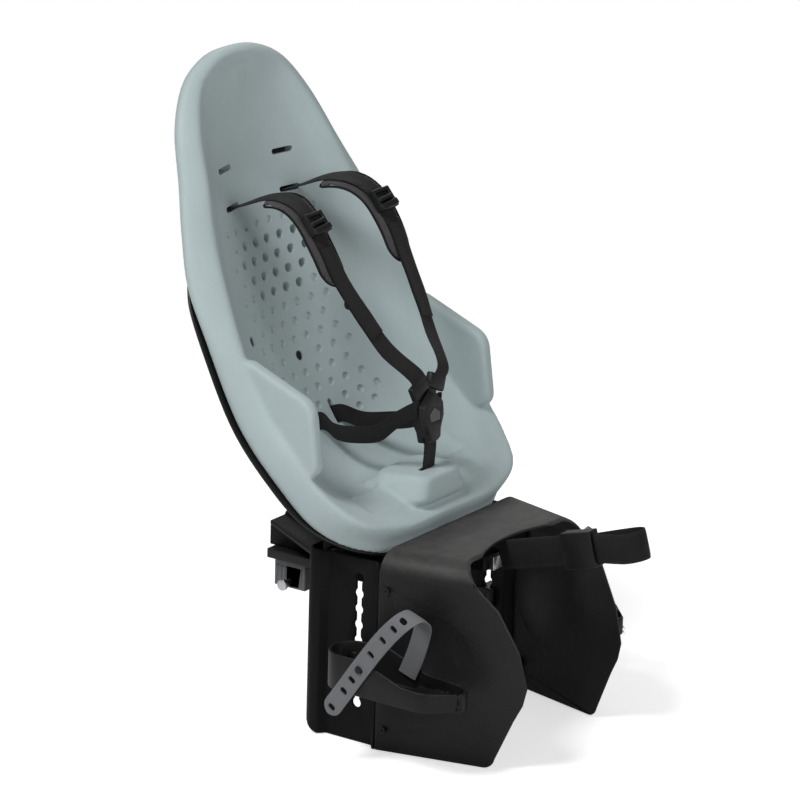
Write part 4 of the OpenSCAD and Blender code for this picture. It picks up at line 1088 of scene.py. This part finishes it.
class SEAT_OT_harness(bpy.types.Operator):
    """Make the shoulder, hip and crotch webbing with its pads and adjusters"""
    bl_idname = "child_seat.harness"
    bl_label = "Harness"

    def execute(self, context):
        web = material("harness_webbing")
        for name, side in SIDES:
            path = on_side(SHOULDER_PATH, side, (0, 0.05, 0.2, 0.2, 0.12, 0.05))
            strap = ribbon(f"shoulder_webbing_{name}", path, WEB_W, WEB_T, n=110, ripple=0.25)
            tail = ribbon(f"webbing_tail_{name}", path, WEB_W, WEB_T, lift=WEB_T + 0.15, start=0.5, end=0.76,
                          n=40, ripple=0.25)
            merge(strap, tail)
            dress(strap, "seat", "webbing", web, f"shoulder_strap_{name}")
            self.pad(name, [np.array(q, float) for q in path])
            hip = ribbon(f"hip_webbing_{name}", on_side(HIP_PATH, side), WEB_W - 3, WEB_T, n=70, ripple=0.2)
            dress(hip, "seat", "webbing", web, f"hip_strap_{name}")
            self.adjuster(name, [np.array(q, float) for q in path])
        crotch = ribbon("crotch_webbing", CROTCH_PATH, WEB_W, WEB_T, n=30)
        dress(crotch, "seat", "webbing", web, "crotch_strap")
        return {"FINISHED"}

    def pad(self, name, path):
        """A puffed shoulder pad under its webbing, with its binding and seam."""
        low = -(WEB_T + PAD_T) / 2 - 0.6
        pad = ribbon(f"shoulder_pad_{name}", path, PAD_W - 0.6, PAD_T - 3.2, lift=low, start=PAD_FROM,
                     end=PAD_TO, n=46, tip=PAD_TIPS, crown=0.15)
        puff(pad, sizes().pad_swell)
        dress(pad, "seat", "padding", material("pad_cloth"), f"shoulder_pad_{name}")
        ts, runs = ribbon_lengths(path)
        s0, s1 = np.interp((PAD_FROM, PAD_TO), ts, runs)
        outline = self.outline(s0 + PAD_TIPS[0], s1 - PAD_TIPS[1])
        edge = [self.spot(path, ts, runs, s, a, low) for s, a in outline]
        piping = tube(f"pad_binding_{name}", edge, 1.5)
        dress(piping, "seat", "padding", material("binding_tape"))
        seam = []
        for k in range(60):
            p, a, o = ribbon_frame(path, float(np.interp(s0 + 8 + (s1 - s0 - 30) * k / 59, runs, ts)))
            seam.append((p + a * (PAD_W / 2 - 6) + o * (low + PAD_T / 2 - 0.5), o))
        dress(stitches(f"pad_stitching_{name}", seam), "seat", "padding", material("binding_tape"))

    def outline(self, first, last):
        """Round a pad: pairs of the run along it and the way across it."""
        half = PAD_W / 2 - 1.6
        pairs = [(s, half) for s in np.linspace(first, last, 40)]
        pairs += [(last + (PAD_TIPS[1] - 1) * math.cos(a), half * math.sin(a))
                  for a in np.radians(np.linspace(90, -90, 25)[1:-1])]
        pairs += [(s, -half) for s in np.linspace(last, first, 40)]
        pairs += [(first + (PAD_TIPS[0] - 1) * math.cos(a), half * math.sin(a))
                  for a in np.radians(np.linspace(-90, -270, 21)[1:-1])]
        return pairs

    def spot(self, path, ts, runs, s, across, lift):
        p, x, o = ribbon_frame(path, float(np.interp(s, runs, ts)))
        return p + x * across + o * lift

    def adjuster(self, name, path):
        """The ladder adjuster, with its rolled lip and bar."""
        ladder = softened(f"strap_adjuster_{name}", f"ladder_lock_{name}", 0.0012, 3)
        p, a, o = ribbon_frame(path, ADJUSTER_AT)
        on = np.cross(o, a)
        axes = (a, on, o)
        lip = rounded_block(f"adjuster_lip_{name}", (WEB_W + 7, 8, 4.5), p + o * 9.3 - on * 9.5, axes, 1.8)
        bar = rounded_block(f"adjuster_bar_{name}", (WEB_W + 4, 5.5, 5), p + o * 8.6, axes, 2.2)
        merge(ladder, lip, bar)
        dress(ladder, "seat", "black_parts", material("small_plastic"), f"strap_adjuster_{name}")


def rounded_block(name, size, place, axes, round_):
    """A box with rounded edges: size and place in mm, axes are its directions as columns."""
    turn = Matrix([list(r) for r in np.array(axes, float).T])
    obj = cutter(name)
    bpy.ops.mesh.primitive_cube_add(size=1, location=in_metres(place), rotation=turn.to_euler(),
                                    scale=in_metres(size))
    bpy.ops.object.mode_set(mode="OBJECT")
    modify(obj, "BEVEL", width=round_ * MM, segments=3, limit_method="NONE", use_clamp_overlap=False)
    smooth_shade(obj, 40)
    return obj


def in_buckle_axes(tilt):
    """The buckle's own directions, turned by tilt degrees in its plane."""
    x, y, z = (np.array(from_buckle(*v)) - np.array(from_buckle(0, 0, 0)) for v in np.eye(3))
    c, s = math.cos(math.radians(tilt)), math.sin(math.radians(tilt))
    return x * c + y * s, y * c - x * s, z


class SEAT_OT_buckle(bpy.types.Operator):
    """Make the harness buckle with its release button and tongues"""
    bl_idname = "child_seat.buckle"
    bl_label = "Buckle"

    def execute(self, context):
        cad_piece("buckle_body", "buckle_housing", 0.0012, "buckle", "buckle_plastic", segments=3)
        cad_piece("buckle_button", "release_button", 0.0008, "buckle", "button_plastic", "buckle_button", 3)
        for name, side in SIDES:
            tongue = softened(f"buckle_tongue_{name}", f"tongue_{name}", 0.0006, 2)
            cover = rounded_block(f"tongue_cover_{name}", (WEB_W + 8, 19, 8.5),
                                  from_buckle(side * 17.5, BUCKLE_H / 2 + 5.5, 1.2),
                                  in_buckle_axes(-25 * side), 2.4)
            merge(tongue, cover)
            dress(tongue, "seat", "black_parts", material("small_plastic"), f"buckle_tongue_{name}")
        return {"FINISHED"}


class SEAT_OT_carrier_body(bpy.types.Operator):
    """Make the columns, the leg shield, the reflector and the rack clamp"""
    bl_idname = "child_seat.carrier_body"
    bl_label = "Carrier Body"

    def execute(self, context):
        round_ = sizes().edge_round
        for node, name, slot, look, width, body in (
                ("carrier_body", "column_housing", "body", "column_plastic", round_, "seat"),
                ("leg_shield", "leg_shield_moulding", "body", "shield_plastic", round_, "seat"),
                ("rear_reflector", "rear_lens", "reflector", "reflector_lens", 0.0008, "seat"),
                ("clamp_base", "clamp_housing", "black_parts", "small_plastic", 0.0012, "seat"),
                ("clamp_knob", "tightening_knob", "black_parts", "small_plastic", 0.0012, "clamp_screw"),
                ("clamp_screw", "cross_screw", "steel", "plated_steel", 0.0006, "clamp_screw"),
                ("clamp_jaw_left", "jaw_left", "jaw_rubber", "jaw_rubber", 0.0009, "clamp_jaw_left"),
                ("clamp_jaw_right", "jaw_right", "jaw_rubber", "jaw_rubber", 0.0009, "clamp_jaw_right"),
                ("safety_keeper", "strap_keeper", "black_parts", "small_plastic", 0.0012, "seat"),
                ("safety_anchor", "strap_anchor", "steel", "plated_steel", 0.0008, "seat")):
            cad_piece(node, name, width, slot, look, body)
        finish_node("shield_screws", "black_steel")
        return {"FINISHED"}


# Footrests

TRAY_X0, TRAY_X1 = 150.4, 210.4
STRAP_X = TRAY_X1 + 1.8
FOOT_PATH = [
    (STRAP_X + 7, -4, -118, 0, 0.81, 0.58), (STRAP_X + 2, -27, -82, 0, 0.81, 0.58),
    (STRAP_X, -44, -56, 0, 0.81, 0.58), (STRAP_X, -73, -16, 0, 0.81, 0.58),
    (STRAP_X - 3, -97, 12, 0, 0.85, 0.5), (STRAP_X - 17, -107, 21, 0, 0.9, 0.4),
    (TRAY_X0 + 28, -105, 14, 0, 0.95, 0.3), (TRAY_X0 + 11, -99, -4, 0, 0.95, 0.25),
    (TRAY_X0 + 6, -87, -40, 0, 0.95, 0.3), (TRAY_X0 + 5.5, -74, -72, 0, 0.95, 0.3)]
HOLES, HOLE_STEP, HOLE_L, HOLE_W = 8, 2 / 9 / 3.5, 11, 7


class SEAT_OT_footrests(bpy.types.Operator):
    """Make the two footrests with their lock buttons and rubber straps"""
    bl_idname = "child_seat.footrests"
    bl_label = "Footrests"

    def execute(self, context):
        for name, side in SIDES:
            body = f"footrest_{name}"
            lock = f"footrest_lock_{name}"
            cad_piece(body, f"foot_tray_{name}", 0.001, "black_parts", "tray_plastic", body)
            cad_piece(lock, f"lock_button_{name}", 0.0007, "body", "column_plastic", lock)
            cad_piece(f"strap_stud_{name}", f"stud_{name}", 0.0005, "black_parts", "small_plastic", body)
            path = on_side(FOOT_PATH, side)
            strap = ribbon(f"rubber_strap_{name}", path, 25, 3, n=90, tip=(12, 0))
            cut(strap, self.hole_tool(path))
            smooth_shade(strap, 50)
            dress(strap, body, "strap_rubber", material("strap_rubber"), f"foot_strap_{name}")
        return {"FINISHED"}

    def hole_tool(self, path):
        """Long holes across the strap, one a notch."""
        tool = cutter("strap_holes")
        bm = bmesh.from_edit_mesh(tool.data)
        path = [np.array(q, float) for q in path]
        for k in range(HOLES):
            p, a, o = ribbon_frame(path, (k + 0.5) * HOLE_STEP)
            l = np.cross(o, a)
            long_hole(bm, HOLE_L, HOLE_W, 24, lambda x, y, z: Vector(p + a * x + l * y + o * z), 8)
        bmesh.update_edit_mesh(tool.data)
        face_out(tool)
        return tool


# Safety strap, in the plane that it leaves the body in

SAFETY_Y, SAFETY_Z, SAFETY_TILT = -100.0, 44.0, math.radians(16)
LOOP_R, SAFETY_REACH, SAFETY_T, SAFETY_W = 20.0, 214.0, 2.4, 36.0


def along_safety(x, y, z=0.0):
    c, s = math.cos(SAFETY_TILT), math.sin(SAFETY_TILT)
    return (x, SAFETY_Y + y * c + z * s, SAFETY_Z - y * s + z * c)


class SEAT_OT_safety_strap(bpy.types.Operator):
    """Make the safety strap with its loop"""
    bl_idname = "child_seat.safety_strap"
    bl_label = "Safety Strap"

    def execute(self, context):
        w = tuple(np.array(along_safety(0, 0, 1)) - np.array(along_safety(0, 0, 0)))
        reach, r = SAFETY_REACH - LOOP_R, LOOP_R - SAFETY_T / 2
        flat = [(-1.7, 0), (-1.7, -40), (-1.7, -85), (-1.7, -120), (-1.9, -142)]
        flat += [(-1.9 - 15.5 * f, -142 - 43 * f) for f in (0.25, 0.5, 0.75)]
        for a in range(165, 376, 15):
            flat.append((r * math.cos(math.radians(a)), -reach + r * math.sin(math.radians(a))))
        flat += [(1.9 + 15.5 * f, -142 - 43 * f) for f in (0.75, 0.5, 0.25)]
        flat += [(1.9, -142), (1.7, -120), (1.7, -85), (1.7, -40), (1.7, 0)]
        path = [along_safety(x, y) + w for x, y in flat]
        strap = ribbon("safety_webbing", path, SAFETY_W, SAFETY_T, n=150)
        dress(strap, "seat", "webbing", material("safety_webbing"), "safety_strap")
        return {"FINISHED"}


class SEAT_OT_stage(bpy.types.Operator):
    """Make the floor, the lamps and the camera"""
    bl_idname = "child_seat.stage"
    bl_label = "Stage"

    def execute(self, context):
        scene = context.scene
        floor_z = CAD_BOX[0][2] - 0.0006
        deselect()
        bpy.ops.mesh.primitive_plane_add(size=14, location=(0, 0, floor_z))
        floor = context.object
        floor.name = "studio_floor"
        bpy.ops.object.transform_apply(location=True, rotation=True, scale=True)
        mat, tree, bsdf = new_material("pale_floor")
        bsdf.inputs["Base Color"].default_value = (0.86, 0.86, 0.86, 1)
        bsdf.inputs["Roughness"].default_value = 0.9
        bsdf.inputs["Specular IOR Level"].default_value = 0.1
        lift = add(tree, "ShaderNodeEmission", ("Color", (1, 1, 1, 1)), ("Strength", 0.5))
        see = add(tree, "ShaderNodeLightPath")
        none = add(tree, "ShaderNodeEmission", ("Strength", 0.0))
        glow = add(tree, "ShaderNodeMixShader", (0, see.outputs["Is Camera Ray"]), (1, none.outputs[0]),
                   (2, lift.outputs[0]))
        lit = add(tree, "ShaderNodeAddShader", (0, bsdf.outputs[0]), (1, glow.outputs[0]))
        white = add(tree, "ShaderNodeEmission", ("Color", (1, 1, 1, 1)), ("Strength", 1.0))
        away = add(tree, "ShaderNodeVectorMath", (0, own_place(tree)), operation="LENGTH")
        far = remap(tree, away.outputs["Value"], 0.6, 1.7)
        seen = calc(tree, "MULTIPLY", far, see.outputs["Is Camera Ray"])
        faded = add(tree, "ShaderNodeMixShader", (0, seen), (1, lit.outputs[0]), (2, white.outputs[0]))
        tree.links.new(faded.outputs[0], tree.nodes["Material Output"].inputs["Surface"])
        floor.data.materials.append(mat)

        world = scene.world or bpy.data.worlds.new("studio")
        scene.world = world
        world.use_nodes = True
        w = world.node_tree
        w.nodes.clear()
        see = add(w, "ShaderNodeLightPath")
        soft = add(w, "ShaderNodeBackground", ("Color", (1, 1, 1, 1)), ("Strength", 0.2))
        white = add(w, "ShaderNodeBackground", ("Color", (1, 1, 1, 1)), ("Strength", 1.0))
        mix = add(w, "ShaderNodeMixShader", (0, see.outputs["Is Camera Ray"]), (1, soft.outputs[0]),
                  (2, white.outputs[0]))
        out = w.nodes.new("ShaderNodeOutputWorld")
        w.links.new(mix.outputs[0], out.inputs["Surface"])

        for name, place, size, power in (("key_lamp", (-2.2, 0.7, 3.2), 1.2, 102),
                                         ("front_lamp", (-1.3, -3.3, 1.9), 2.4, 62),
                                         ("rim_lamp", (2.4, 1.8, 2.2), 1.8, 22)):
            data = bpy.data.lights.new(name, "AREA")
            data.shape = "DISK"
            data.size = size
            data.energy = power
            lamp = bpy.data.objects.new(name, data)
            scene.collection.objects.link(lamp)
            lamp.location = place
            lamp.rotation_euler = (Vector((0, 0.1, 0.2)) - lamp.location).to_track_quat("-Z", "Y").to_euler()

        lens = bpy.data.cameras.new("photo_camera")
        lens.sensor_width = 36
        lens.lens = 267
        camera = bpy.data.objects.new("photo_camera", lens)
        scene.collection.objects.link(camera)
        camera.location = (-5.69, -3.88, 2.44)
        aim = (Vector((0.0, 0.055, 0.205)) - camera.location).to_track_quat("-Z", "Y")
        camera.rotation_euler = (aim.to_matrix() @ Matrix.Rotation(math.radians(1.59), 3, "Z")).to_euler()
        scene.camera = camera
        scene.view_settings.view_transform = "Standard"
        return {"FINISHED"}


class SEAT_PT_panel(bpy.types.Panel):
    """Lists the pieces of the seat"""
    bl_idname = "SEAT_PT_panel"
    bl_label = "Child Seat"
    bl_space_type = "VIEW_3D"
    bl_region_type = "UI"
    bl_category = "Child Seat"

    def draw(self, context):
        for settings in (sizes(), colours()):
            for key in settings.__annotations__:
                self.layout.prop(settings, key)
        for piece in OPERATORS:
            self.layout.operator(piece.bl_idname)


OPERATORS = (SEAT_OT_stage, SEAT_OT_foam_bucket, SEAT_OT_hard_shell, SEAT_OT_harness, SEAT_OT_buckle,
             SEAT_OT_carrier_body, SEAT_OT_footrests, SEAT_OT_safety_strap)
CLASSES = (ChildSeatSizes, ChildSeatColours) + OPERATORS + (SEAT_PT_panel,)


def register():
    for c in CLASSES:
        bpy.utils.register_class(c)
    bpy.types.Scene.child_seat_sizes = bpy.props.PointerProperty(type=ChildSeatSizes)
    bpy.types.Scene.child_seat_colours = bpy.props.PointerProperty(type=ChildSeatColours)


def unregister():
    del bpy.types.Scene.child_seat_sizes
    del bpy.types.Scene.child_seat_colours
    for c in reversed(CLASSES):
        bpy.utils.unregister_class(c)


def main():
    register()
    for piece in OPERATORS:
        group_name, call = piece.bl_idname.split(".")
        getattr(getattr(bpy.ops, group_name), call)()


if __name__ == "__main__":
    main()
